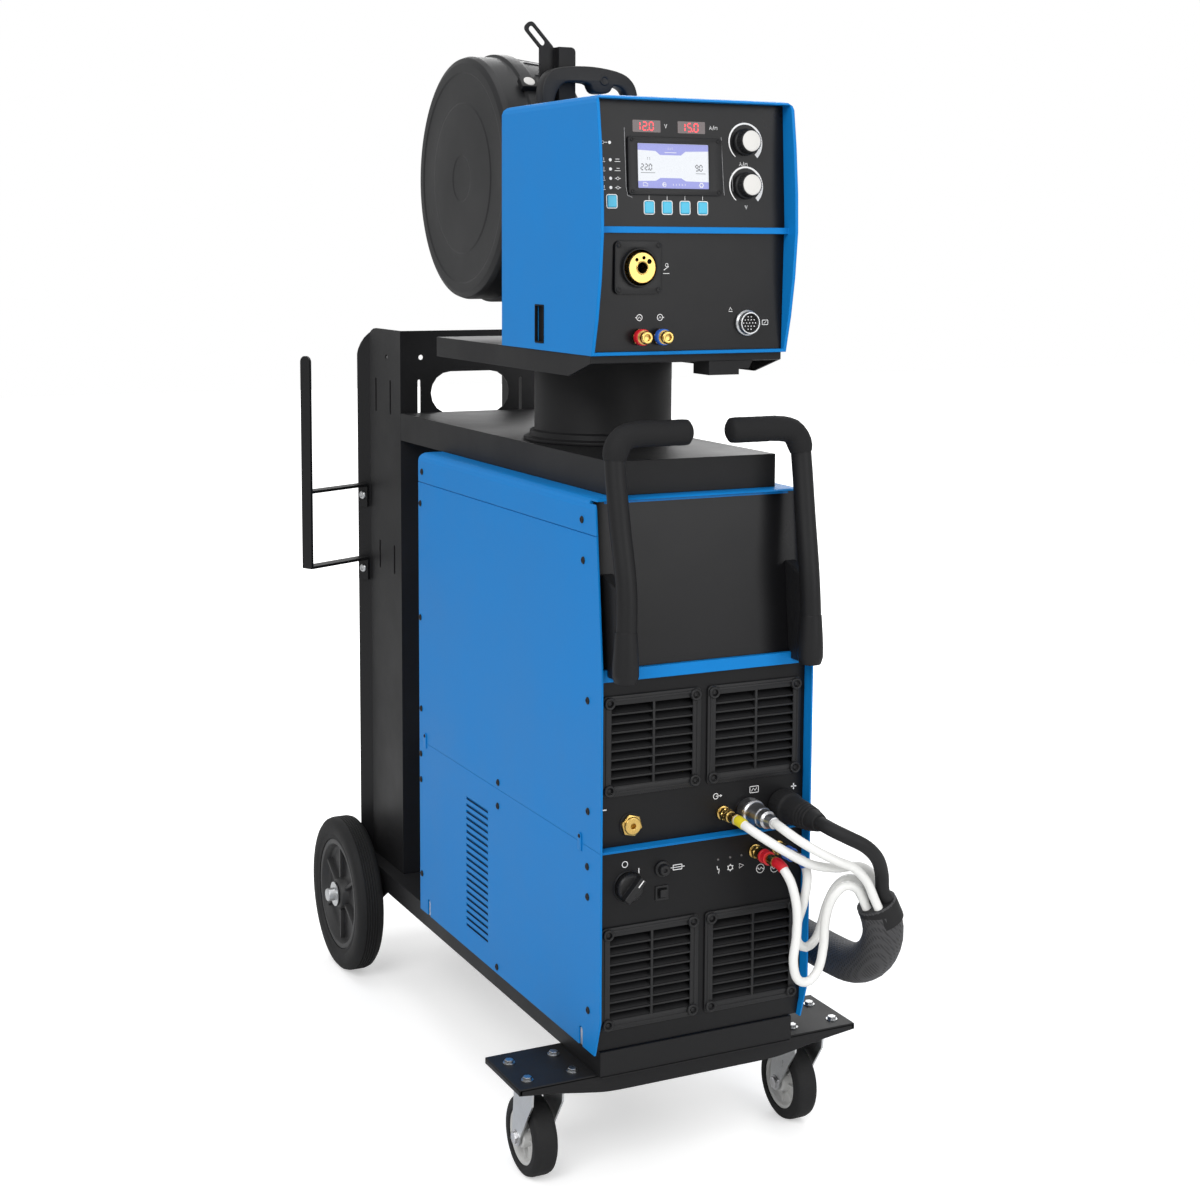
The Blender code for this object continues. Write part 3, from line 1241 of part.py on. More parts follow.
# ================================================================ hoses and cables
SLEEVE_R = 0.025
COLLAR = 0.006  # wall of the post's inlet round the sleeve
SLEEVE_BEND = 0.100
SLEEVE_SAG_Z = 0.246
SLEEVE_SIDE_X = 0.176  # where the bundle climbs beside the power source
ENTRY_Z = SHELF_TOP + 2 * GAP + SLEEVE_R + COLLAR
ENTRY_DIR = Vector((0.573, 0.8195, 0)).normalized()  # from the post's middle towards the incoming bundle
MOUTH = Vector((0.186, -0.086, 0.352))  # middle of the sleeve's open end
MOUTH_DIR = Vector((0.42, -0.06, -0.905)).normalized()


def mouth_point(across, front, back=0.0):
    """A point in the sleeve's mouth, or that far before it."""
    side = MOUTH_DIR.cross(Vector((0, 1, 0))).normalized()
    return MOUTH + side * across + MOUTH_DIR.cross(side) * front - MOUTH_DIR * (back + GAP)


def hose(name, points, start_way, end_way, radius, spacing, resolution, finish):
    """A hose whose first and last stretch run straight, so that its ends sit flat on what they meet."""
    path = smooth_path(points, spacing)
    straight = radius * 0.6
    path.insert(1, path[0] + Vector(start_way) * straight)
    path.insert(-1, path[-1] - Vector(end_way) * straight)
    keep(tube(name, path, radius, resolution), finish)


def make_sleeve():
    """The bundle's sleeve: it sags along the right side, climbs, and enters the hollow post from behind."""
    post = Vector((0, POST_Y, ENTRY_Z))
    climb = post + ENTRY_DIR * (SLEEVE_SIDE_X / ENTRY_DIR.x)
    route = [
        MOUTH, (0.194, -0.087, 0.331), (0.1995, -0.083, 0.308), (0.201, -0.070, 0.283),
        (0.201, -0.048, 0.263),
        (0.200, -0.018, 0.250), (0.199, 0.025, SLEEVE_SAG_Z), (0.196, 0.110, SLEEVE_SAG_Z),
    ]
    rise = 0.250
    for degrees in range(0, 91, 15):
        a = math.radians(degrees)
        share = degrees / 90
        x = 0.190 + (SLEEVE_SIDE_X - 0.190) * share
        route.append((x, climb.y - rise + rise * math.sin(a), SLEEVE_SAG_Z + rise * (1 - math.cos(a))))
    route.append((SLEEVE_SIDE_X, climb.y, 0.660))
    for degrees in range(0, 91, 15):
        a = math.radians(degrees)
        spot = climb - ENTRY_DIR * SLEEVE_BEND * (1 - math.cos(a))
        route.append((spot.x, spot.y, ENTRY_Z - SLEEVE_BEND * (1 - math.sin(a))))
    route.append(post + ENTRY_DIR * (POST_R - 0.010))
    hose("cable_sleeve", route, MOUTH_DIR, -ENTRY_DIR, SLEEVE_R, 0.045, 3, RUBBER)


def make_hoses():
    out = (0, -1, 0)
    face = RECESS - GAP
    red = [
        (RED_X, face - COUPLING_LENGTH - GAP, WATER_Z), (RED_X, -0.044, WATER_Z), (0.075, -0.056, 0.396),
        (0.080, -0.064, 0.380),
        (0.086, -0.066, 0.350), (0.086, -0.066, 0.318), (0.082, -0.066, 0.288), (0.088, -0.066, 0.264),
        (0.104, -0.066, 0.258),
        (0.118, -0.066, 0.272), (0.124, -0.067, 0.300), (0.123, -0.072, 0.335), (0.128, -0.078, 0.362),
        (0.142, -0.083, 0.377),
        (0.157, -0.086, 0.373), mouth_point(-0.015, 0.001, 0.014), mouth_point(-0.015, 0.001),
    ]
    blue = [
        (BLUE_X, face - COUPLING_LENGTH - GAP, WATER_Z), (BLUE_X, -0.041, WATER_Z),
        (0.107, -0.051, 0.396), (0.106, -0.056, 0.380),
        (0.103, -0.053, 0.352), (0.098, -0.048, 0.326), (0.101, -0.044, 0.302), (0.114, -0.044, 0.292),
        (0.127, -0.046, 0.303),
        (0.132, -0.051, 0.325), (0.135, -0.056, 0.347), (0.143, -0.062, 0.369), (0.156, -0.067, 0.380),
        (0.169, -0.069, 0.375),
        mouth_point(-0.004, -0.0165, 0.014), mouth_point(-0.004, -0.0165),
    ]
    gas = [
        (GAS_X, face - GAS_LENGTH - GAP, GAS_Z), (GAS_X, -0.027, GAS_Z), (0.032, -0.044, 0.451),
        (0.046, -0.060, 0.440),
        (0.070, -0.070, 0.424), (0.100, -0.074, 0.407), (0.135, -0.075, 0.398), (0.164, -0.076, 0.397),
        (0.183, -0.077, 0.387),
        mouth_point(0.013, -0.008, 0.014), mouth_point(0.013, -0.008),
    ]
    control = [
        (CONTROL_X, face - CONTROL_LENGTH - GAP, CONTROL_Z), (CONTROL_X, -0.058, CONTROL_Z),
        (0.066, -0.073, 0.451),
        (0.078, -0.086, 0.441), (0.098, -0.094, 0.428), (0.122, -0.099, 0.415), (0.144, -0.100, 0.404),
        (0.162, -0.101, 0.385),
        mouth_point(-0.0075, 0.0165, 0.014), mouth_point(-0.0075, 0.0165),
    ]
    power = [
        (PLUG_X, face - PLUG_LENGTH - GAP, PLUG_Z), (PLUG_X, -0.080, PLUG_Z), (0.116, -0.096, 0.453),
        (0.129, -0.109, 0.446),
        (0.150, -0.115, 0.434), (0.170, -0.110, 0.415), (0.183, -0.101, 0.392),
        mouth_point(0.009, 0.0115, 0.014),
        mouth_point(0.009, 0.0115),
    ]
    for name, route in (("hose_red", red), ("hose_blue", blue), ("hose_gas", gas),
                        ("control_cable", control)):
        hose(name, route, out, MOUTH_DIR, HOSE_R, 0.014, 2, WHITE)
    hose("power_cable", power, out, MOUTH_DIR, CABLE_R, 0.018, 2, RUBBER)


# ================================================================ the whole machine
def build():
    make_front_plate()
    make_chassis()
    make_axle()
    make_mast()
    make_hanger()
    make_lower_shelf()
    for side, sign in (("left", -1), ("right", 1)):
        make_rear_wheel(side, sign)
        make_caster(side, sign)
    make_cooler_casing()
    make_cooler_front()
    make_grilles("cooler_grilles", *COOLER_GRILLE, 9)
    make_power_casing()
    make_power_fronts()
    make_grilles("power_grilles", *POWER_GRILLE, 9)
    make_switch()
    make_fuse_holder()
    make_coupling("coupling_red", RED_X, WATER_Z, COUPLING_LENGTH)
    make_coupling("coupling_blue", BLUE_X, WATER_Z, COUPLING_LENGTH)
    make_coupling("coupling_gas", GAS_X, GAS_Z, GAS_LENGTH)
    make_power_fittings()
    make_handles()
    make_post()
    make_sleeve()
    make_hoses()
    swivel = pivot("feeder_swivel", (0, POST_Y, DECK_TOP))
    make_deck(swivel)
    make_feeder_casing(swivel)
    make_feeder_front(swivel)
    make_display(swivel)
    make_buttons(swivel)
    make_knobs(swivel)
    make_feeder_sockets(swivel)
    make_carry_handle(swivel)
    make_lifting_eye(swivel)
    make_drum(swivel)
    make_spool_cover(swivel)
    make_spool(swivel)


build()
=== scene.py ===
"""Dressed model of a MIG welder on its cart: fine shapes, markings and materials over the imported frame.

Shapes are given in millimetres. X runs to the right, Y to the back from the casings' front, and Z up.
"""

import math

import bmesh
import bpy
from mathutils import Matrix, Vector


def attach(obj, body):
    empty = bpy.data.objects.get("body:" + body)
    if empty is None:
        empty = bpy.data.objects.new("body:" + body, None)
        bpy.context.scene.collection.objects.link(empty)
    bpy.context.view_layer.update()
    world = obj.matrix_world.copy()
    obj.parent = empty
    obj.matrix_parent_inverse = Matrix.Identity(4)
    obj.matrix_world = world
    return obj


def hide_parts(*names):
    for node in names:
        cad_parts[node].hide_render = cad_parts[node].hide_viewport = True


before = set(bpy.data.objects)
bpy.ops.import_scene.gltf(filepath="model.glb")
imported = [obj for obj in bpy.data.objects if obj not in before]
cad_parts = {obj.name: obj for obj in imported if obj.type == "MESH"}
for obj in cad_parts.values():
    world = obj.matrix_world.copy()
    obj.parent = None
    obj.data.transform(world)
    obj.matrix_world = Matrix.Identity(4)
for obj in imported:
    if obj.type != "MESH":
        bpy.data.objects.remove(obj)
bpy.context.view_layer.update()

MM = 0.001
AXLE_Y, WHEEL_R = 870, 120
CENTRE_Y = (AXLE_Y + WHEEL_R - 36.5) / 2
TO_SCENE = Matrix.Translation((0, -CENTRE_Y * MM, 0)) @ Matrix.Scale(MM, 4)
FRONT, RIGHT, UP, DOWN = (0, -1, 0), (1, 0, 0), (0, 0, 1), (0, 0, -1)


# ================================================================ materials
def nodes_of(name):
    made = bpy.data.materials.new(name)
    made.use_nodes = True
    tree = made.node_tree
    return made, tree, tree.nodes["Principled BSDF"]


def feed(tree, node, values):
    """Sets or links inputs, by name or by _number."""
    for key, value in values.items():
        socket = node.inputs[int(key[1:]) if key[0] == "_" else key]
        if isinstance(value, bpy.types.NodeSocket):
            tree.links.new(value, socket)
        else:
            socket.default_value = value


def add(tree, kind, **values):
    """A node with its settings in small letters and its inputs in capitals or numbers."""
    node = tree.nodes.new("ShaderNode" + kind)
    for key in [key for key in values if key[0].islower()]:
        setattr(node, key, values.pop(key))
    feed(tree, node, values)
    return node


def ramp(tree, factor, low, high, low_at=0.3, high_at=0.7):
    node = add(tree, "ValToRGB", Fac=factor)
    for element, place, colour in zip(node.color_ramp.elements, (low_at, high_at), (low, high)):
        element.position = place
        element.color = colour
    return node.outputs["Color"]


def grey(v):
    return (v, v, v, 1.0)


def shade(colour, factor):
    return (*[min(1.0, c * factor) for c in colour], 1.0)


def surface(name, colour, rough, mottle, grain, bump, metallic=0.0, mottle_scale=6.0, depth=0.0004,
            round_edges=0.0, coat=0.0, dust=0.0, streak=None, specular=0.5):
    """A finish with colour mottling, fine grain, rounded edges and dust on top faces, in metres."""
    made, tree, shader = nodes_of(name)
    place = add(tree, "TexCoord").outputs["Object"]
    grained = add(tree, "Mapping", Vector=place, Scale=streak).outputs["Vector"] if streak else place
    broad = add(tree, "TexNoise", Vector=place, Scale=mottle_scale, Detail=6.0, Roughness=0.6).outputs["Fac"]
    fine = add(tree, "TexNoise", Vector=grained, Scale=grain, Detail=3.0, Roughness=0.55).outputs["Fac"]
    tint = ramp(tree, broad, shade(colour, 1 - mottle), shade(colour, 1 + mottle))
    fleck = ramp(tree, fine, grey(1 - mottle), grey(1.0))
    out = add(tree, "Mix", data_type="RGBA", blend_type="MULTIPLY", _0=1.0, _6=tint, _7=fleck).outputs[2]
    if dust:
        normal = add(tree, "NewGeometry").outputs["Normal"]
        up = add(tree, "SeparateXYZ", Vector=normal).outputs["Z"]
        film = add(tree, "TexNoise", Vector=place, Scale=38.0, Detail=8.0, Roughness=0.7).outputs["Fac"]
        lying = add(tree, "Math", operation="MULTIPLY", use_clamp=True, _0=up, _1=film).outputs[0]
        amount = add(tree, "Math", operation="MULTIPLY", _0=lying, _1=dust).outputs[0]
        out = add(tree, "Mix", data_type="RGBA", _0=amount, _6=out, _7=(0.32, 0.32, 0.31, 1.0)).outputs[2]
    relief = add(tree, "Bump", Strength=bump, Distance=depth, Height=fine)
    if round_edges:
        soft = add(tree, "Bevel", samples=4, Radius=round_edges)
        feed(tree, relief, {"Normal": soft.outputs["Normal"]})
    feed(tree, shader, {
        "Base Color": out, "Roughness": ramp(tree, broad, grey(rough[0]), grey(rough[1])),
        "Metallic": metallic,
        "Specular IOR Level": specular, "Normal": relief.outputs["Normal"],
    })
    if coat:
        feed(tree, shader, {"Coat Weight": coat, "Coat Roughness": 0.12})
    made.diffuse_color = (*colour, 1.0)
    return made


def glow(name, colour, strength):
    """A lit display element: a dim base with an even emission broken up by a fine pixel pattern."""
    made, tree, shader = nodes_of(name)
    place = add(tree, "TexCoord").outputs["Object"]
    grid = add(tree, "TexNoise", Vector=place, Scale=1400.0, Detail=1.0).outputs["Fac"]
    feed(tree, shader, {
        "Base Color": shade(colour, 0.22), "Roughness": 0.35, "Emission Strength": strength,
        "Emission Color": ramp(tree, grid, shade(colour, 0.86), shade(colour, 1.0), 0.35, 0.65),
    })
    made.diffuse_color = (*colour, 1.0)
    return made


BLUE = surface("blue powder coat", (0.0045, 0.182, 0.515), (0.38, 0.48), 0.035, 1500.0, 0.10,
               round_edges=0.0012,
               specular=0.10)
STRIPE = surface("blue stripe", (0.0055, 0.195, 0.545), (0.30, 0.38), 0.03, 1500.0, 0.06, round_edges=0.0006,
                 specular=0.12)
BLACK = surface("black powder coat", (0.0090, 0.0090, 0.0098), (0.42, 0.56), 0.10, 1300.0, 0.16,
                round_edges=0.0010, dust=0.02, specular=0.20)
PANEL = surface("black panel", (0.0068, 0.0068, 0.0075), (0.36, 0.46), 0.06, 1800.0, 0.07,
                round_edges=0.0008,
                specular=0.18)
FILM = surface("front foil", (0.0062, 0.0062, 0.0070), (0.26, 0.34), 0.05, 2200.0, 0.05, round_edges=0.0006,
               specular=0.20)
MOULD = surface("black moulding", (0.0100, 0.0100, 0.0108), (0.40, 0.54), 0.08, 2400.0, 0.22, depth=0.0003,
                round_edges=0.0006, specular=0.30)
# Painted shade: a near-black finish for holes, recesses, slots and cavities. It stands in for the shade
# inside them.
PAINTED_SHADE = surface("painted shade inside", (0.0025, 0.0025, 0.0028), (0.6, 0.8), 0.2, 400.0, 0.2, specular=0.2)
FINS = surface("radiator fins", (0.030, 0.031, 0.033), (0.35, 0.5), 0.15, 1200.0, 0.3, 0.6)
RUBBER = surface("rubber", (0.0105, 0.0105, 0.0112), (0.56, 0.72), 0.12, 1100.0, 0.30, round_edges=0.0008,
                 dust=0.02, specular=0.26)
TYRE = surface("tyre rubber", (0.0130, 0.0130, 0.0136), (0.60, 0.78), 0.18, 700.0, 0.35, mottle_scale=14.0,
               depth=0.0006, round_edges=0.0010, dust=0.03, specular=0.22)
GRIP = surface("grip foam", (0.0100, 0.0100, 0.0108), (0.66, 0.82), 0.12, 1600.0, 0.55, depth=0.0005,
               specular=0.22)
DRUM = surface("drum plastic", (0.0135, 0.0138, 0.0148), (0.38, 0.50), 0.07, 2000.0, 0.18,
               round_edges=0.0012,
               dust=0.02, specular=0.24)
ZINC = surface("zinc plate", (0.56, 0.57, 0.58), (0.26, 0.44), 0.10, 500.0, 0.10, 1.0, 30.0,
               round_edges=0.0006)
STEEL = surface("brushed steel", (0.60, 0.60, 0.61), (0.22, 0.36), 0.06, 600.0, 0.12, 1.0,
                streak=(1.0, 1.0, 14.0), round_edges=0.0005)
BRASS = surface("brass", (0.62, 0.42, 0.13), (0.20, 0.34), 0.12, 900.0, 0.06, 1.0, 60.0, round_edges=0.0004)
HOSE = surface("white hose", (0.76, 0.76, 0.74), (0.30, 0.42), 0.04, 1100.0, 0.10, mottle_scale=20.0,
               coat=0.15)
PALE = surface("pale plastic", (0.60, 0.59, 0.57), (0.36, 0.48), 0.05, 1600.0, 0.10, round_edges=0.0004)
HUB = surface("hub plastic", (0.018, 0.018, 0.019), (0.45, 0.6), 0.12, 1400.0, 0.22, round_edges=0.0010,
              dust=0.06)
CASTER_HUB = surface("caster hub", (0.50, 0.50, 0.49), (0.38, 0.52), 0.08, 1400.0, 0.12, round_edges=0.0008)
RED = surface("red band", (0.60, 0.012, 0.022), (0.32, 0.45), 0.06, 1300.0, 0.10)
BAND_BLUE = surface("blue band", (0.020, 0.110, 0.480), (0.32, 0.45), 0.06, 1300.0, 0.10)
YELLOW = surface("yellow band", (0.66, 0.55, 0.020), (0.34, 0.46), 0.05, 1300.0, 0.10)
KEY = surface("cyan key", (0.050, 0.420, 0.620), (0.36, 0.46), 0.05, 1700.0, 0.10, round_edges=0.0005)
INK = surface("white ink", (0.78, 0.78, 0.78), (0.5, 0.6), 0.04, 1500.0, 0.04)
INK_GREY = surface("grey ink", (0.30, 0.30, 0.31), (0.5, 0.6), 0.05, 1500.0, 0.04)
SMOKE = surface("smoked window", (0.030, 0.004, 0.005), (0.10, 0.18), 0.08, 1500.0, 0.02, coat=0.5)
LAMP = surface("indicator lens", (0.085, 0.080, 0.078), (0.15, 0.25), 0.06, 1500.0, 0.03, coat=0.4)
COPPER = surface("copper wire", (0.60, 0.28, 0.14), (0.24, 0.36), 0.10, 500.0, 0.2, 1.0, 40.0)
LCD = glow("screen white", (0.84, 0.87, 0.92), 0.72)
LILAC = glow("screen lilac", (0.30, 0.32, 0.72), 0.80)
DIGIT = glow("red digits", (0.95, 0.045, 0.060), 2.2)
TEXT = surface("screen grey", (0.035, 0.037, 0.045), (0.4, 0.5), 0.04, 1500.0, 0.02)


def braid(base):
    """The woven look of the sleeve: two crossing diagonal wave patterns in bump and colour."""
    made, tree, shader = nodes_of("braided sleeve")
    place = add(tree, "TexCoord").outputs["Object"]
    waves = []
    for way in (1, -1):
        turned = add(tree, "Mapping", Vector=place, Scale=(1, way, 1)).outputs["Vector"]
        waves.append(add(tree, "TexWave", wave_type="BANDS", bands_direction="DIAGONAL", Vector=turned,
                         Scale=95.0,
                         Distortion=0.6).outputs["Fac"])
    height = add(tree, "Math", operation="MAXIMUM", _0=waves[0], _1=waves[1]).outputs[0]
    relief = add(tree, "Bump", Strength=0.6, Distance=0.0008, Height=height)
    feed(tree, shader, {
        "Base Color": ramp(tree, height, shade(base, 0.45), shade(base, 1.25), 0.2, 0.8),
        "Roughness": 0.62, "Normal": relief.outputs["Normal"],
    })
    made.diffuse_color = (*base, 1.0)
    return made


# ================================================================ outlines and paths
def arc(u, v, radius, start, end, steps):
    angles = [math.radians(start + (end - start) * k / steps) for k in range(steps + 1)]
    return [(u + radius * math.cos(a), v + radius * math.sin(a)) for a in angles]


def circle(u, v, radius, count):
    return arc(u, v, radius, 0, 360 - 360 / count, count - 1)


def rectangle(u0, v0, u1, v1):
    return [(u0, v0), (u1, v0), (u1, v1), (u0, v1)]


def round_rect(u0, v0, u1, v1, radius, steps=5):
    points = []
    for u, v, turn in ((u1, v1, 0), (u0, v1, 90), (u0, v0, 180), (u1, v0, 270)):
        inner_u = u - math.copysign(radius, u - (u0 + u1) / 2)
        inner_v = v - math.copysign(radius, v - (v0 + v1) / 2)
        points += arc(inner_u, inner_v, radius, turn, turn + 90, steps)
    return points


def around(count):
    return [360 * k / count for k in range(count)]


def both_ways(section):
    """A section of (radius, height) points with its mirror image about height 0."""
    return section + [(r, -h) for r, h in reversed(section)]


def rounded(profile, radius, steps):
    """The profile with each inner corner replaced by an arc."""
    points = [Vector(p) for p in profile]
    made = [tuple(points[0])]
    for a, b, c in zip(points, points[1:], points[2:]):
        back, ahead = a - b, c - b
        reach = min(radius, back.length * 0.45, ahead.length * 0.45)
        p, q = b + back.normalized() * reach, b + ahead.normalized() * reach
        for k in range(steps + 1):
            t = k / steps
            made.append(tuple(p.lerp(b, t).lerp(b.lerp(q, t), t)))
    made.append(tuple(points[-1]))
    return made


def smooth_path(points, spacing):
    """Evenly spaced points on a smooth curve through the given ones."""
    p = [Vector(q) for q in points]
    p = [2 * p[0] - p[1], *p, 2 * p[-1] - p[-2]]
    fine = []
    for k in range(1, len(p) - 2):
        for t in (s / 24 for s in range(24)):
            fine.append(0.5 * (
                2 * p[k] + (p[k + 1] - p[k - 1]) * t
                + (2 * p[k - 1] - 5 * p[k] + 4 * p[k + 1] - p[k + 2]) * t * t
                + (3 * p[k] - p[k - 1] - 3 * p[k + 1] + p[k + 2]) * t ** 3
            ))
    fine.append(p[-2])
    lengths = [0.0]
    for a, b in zip(fine, fine[1:]):
        lengths.append(lengths[-1] + (b - a).length)
    count = max(2, round(lengths[-1] / spacing))
    even = []
    k = 0
    for n in range(count + 1):
        want = lengths[-1] * n / count
        while k < len(fine) - 2 and lengths[k + 1] < want:
            k += 1
        share = (want - lengths[k]) / (lengths[k + 1] - lengths[k])
        even.append(fine[k].lerp(fine[k + 1], min(share, 1.0)))
    return even


# ================================================================ pieces
AXES = {
    "X": Matrix(((0, 0, 1, 0), (1, 0, 0, 0), (0, 1, 0, 0), (0, 0, 0, 1))),
    "Y": Matrix(((1, 0, 0, 0), (0, 0, -1, 0), (0, 1, 0, 0), (0, 0, 0, 1))),
    "Z": Matrix.Identity(4),
}


def place_mesh(name, work, finish, body):
    mesh = bpy.data.meshes.new(name)
    work.to_mesh(mesh)
    work.free()
    made = bpy.data.objects.new(name, mesh)
    bpy.context.scene.collection.objects.link(made)
    mesh.materials.append(finish)
    if body:
        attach(made, body)
    return made


class Piece:
    """A mesh under construction, in millimetres until done() puts it into the scene."""

    def __init__(self):
        self.work = bmesh.new()

    def box(self, corner, other, bevel=0.0, segments=2, turn=None):
        low, high = [Vector([pick(pair) for pair in zip(corner, other)]) for pick in (min, max)]
        made = bmesh.ops.create_cube(self.work, size=1.0)["verts"]
        bmesh.ops.scale(self.work, vec=high - low, verts=made)
        if bevel:
            edges = list({e for v in made for e in v.link_edges})
            got = bmesh.ops.bevel(self.work, geom=edges, offset=bevel, segments=segments, profile=0.6,
                                  affect="EDGES")
            made = list({v for f in got["faces"] for v in f.verts} | {v for v in made if v.is_valid})
        if turn is not None:
            bmesh.ops.transform(self.work, matrix=turn, verts=made)
        bmesh.ops.translate(self.work, vec=(low + high) / 2, verts=made)

    def lathe(self, profile, origin, steps=48, axis=FRONT, closed=False, soft=0.0, soft_steps=2):
        """Rings of (radius, height) points about an axis; radius 0 makes a pole and soft rounds corners."""
        if soft:
            profile = rounded(profile, soft, soft_steps)
        axis = Vector(axis).normalized()
        first = axis.orthogonal().normalized()
        second = axis.cross(first)
        angles = [math.radians(a) for a in around(steps)]
        rings = []
        for r, h in profile:
            centre = Vector(origin) + axis * h
            spread = angles if r > 1e-4 else [0.0]
            rings.append([self.work.verts.new(centre + (first * math.cos(a) + second * math.sin(a)) * r)
                          for a in spread])
        for a, b in list(zip(rings, rings[1:])) + ([(rings[-1], rings[0])] if closed else []):
            for k in range(steps):
                n = (k + 1) % steps
                corners = dict.fromkeys((a[k % len(a)], a[n % len(a)], b[n % len(b)], b[k % len(b)]))
                if len(corners) > 2:
                    self.work.faces.new(list(corners))

    def sweep(self, path, radii, sides):
        """A capped tube along a path with a radius at each point, carried without twist."""
        path = [Vector(p) for p in path]
        if not hasattr(radii, "__len__"):
            radii = [radii] * len(path)
        side = (path[1] - path[0]).normalized().orthogonal().normalized()
        angles = [math.radians(a) for a in around(sides)]
        rings = []
        for k, p in enumerate(path):
            ahead = (path[min(k + 1, len(path) - 1)] - path[max(k - 1, 0)]).normalized()
            side = (side - ahead * side.dot(ahead)).normalized()
            other = ahead.cross(side)
            rings.append([self.work.verts.new(p + (side * math.cos(a) + other * math.sin(a)) * radii[k])
                          for a in angles])
        for a, b in zip(rings, rings[1:]):
            for k in range(sides):
                n = (k + 1) % sides
                self.work.faces.new((a[k], a[n], b[n], b[k]))
        for end in (rings[0], rings[-1]):
            self.work.faces.new(end)

    def plate(self, outlines, near, far, axis="Y", bevel=0.0):
        """Outlines, the first the edge and the others holes, extruded along an axis; filled in metres."""
        low, high = sorted((near, far))
        curve = bpy.data.curves.new("outline", "CURVE")
        curve.dimensions = "2D"
        curve.fill_mode = "BOTH"
        curve.extrude = ((high - low) / 2 - bevel) * MM
        curve.bevel_depth = bevel * MM
        curve.bevel_resolution = 1
        curve.offset = -bevel * MM
        for points in outlines:
            spline = curve.splines.new("POLY")
            spline.points.add(len(points) - 1)
            for spot, (u, v) in zip(spline.points, points):
                spot.co = (u * MM, v * MM, 0, 1)
            spline.use_cyclic_u = True
        thing = bpy.data.objects.new("outline", curve)
        bpy.context.scene.collection.objects.link(thing)
        bpy.context.view_layer.update()
        mesh = bpy.data.meshes.new_from_object(thing.evaluated_get(bpy.context.evaluated_depsgraph_get()))
        middle = (low + high) / 2
        shift = {"X": (middle, 0, 0), "Y": (0, middle, 0), "Z": (0, 0, middle)}[axis]
        mesh.transform(Matrix.Translation(shift) @ AXES[axis] @ Matrix.Scale(1 / MM, 4))
        before = len(self.work.verts)
        self.work.from_mesh(mesh)
        self.work.verts.ensure_lookup_table()
        bpy.data.objects.remove(thing, do_unlink=True)
        bpy.data.meshes.remove(mesh)
        return self.work.verts[before:]

    def nut(self, at, radius, length, axis=FRONT, hole=0.0):
        sides = [(radius * 0.90, 0), (radius, length * 0.12), (radius, length * 0.88),
                 (radius * 0.90, length)]
        self.lathe([(hole, 0), *sides, (hole, length)], at, 6, axis, closed=bool(hole))

    def screw(self, at, axis=FRONT, radius=4.5, height=2.0):
        """A domed head with a recess."""
        self.lathe([(0, height * 0.55), (radius * 0.42, height * 0.55), (radius * 0.46, height * 0.98),
                    (radius * 0.80, height * 0.80), (radius, height * 0.25), (radius, 0)], at, 24, axis,
                   soft=radius * 0.08)

    def studs(self, angles, at, radius, high, low=None, axis="Y", bevel=0.0, segments=1):
        """Small boxes round an axis, such as knurls or spokes, from low to high about their middles."""
        low = -Vector(high) if low is None else Vector(low)
        for angle in angles:
            turn = Matrix.Rotation(math.radians(angle), 4, axis)
            spot = Vector(at) + turn @ Vector((0, 0, radius))
            self.box(spot + low, spot + Vector(high), bevel, segments, turn)

    def spin(self, centre, angle, axis):
        bmesh.ops.rotate(self.work, cent=centre, matrix=Matrix.Rotation(angle, 3, axis),
                         verts=self.work.verts)

    def done(self, name, finish, slot="black_plastic", body="cart", node=None, sharp=35.0):
        """Puts the piece into the scene on its body, in place of a CAD node where one is named."""
        bmesh.ops.remove_doubles(self.work, verts=self.work.verts, dist=1e-4)
        bmesh.ops.recalc_face_normals(self.work, faces=self.work.faces)
        bmesh.ops.transform(self.work, matrix=TO_SCENE, verts=self.work.verts)
        made = place_mesh(name, self.work, finish, body)
        made.data.shade_smooth()
        made.data.set_sharp_from_angle(angle=math.radians(sharp))
        if node:
            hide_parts(node)
        return made


SEGMENTS = {"0": "abcdef", "1": "bc", "2": "abged", "5": "afgcd", "9": "abcfgd"}
PRINT = 0.25  # a printed shape's distance from its face


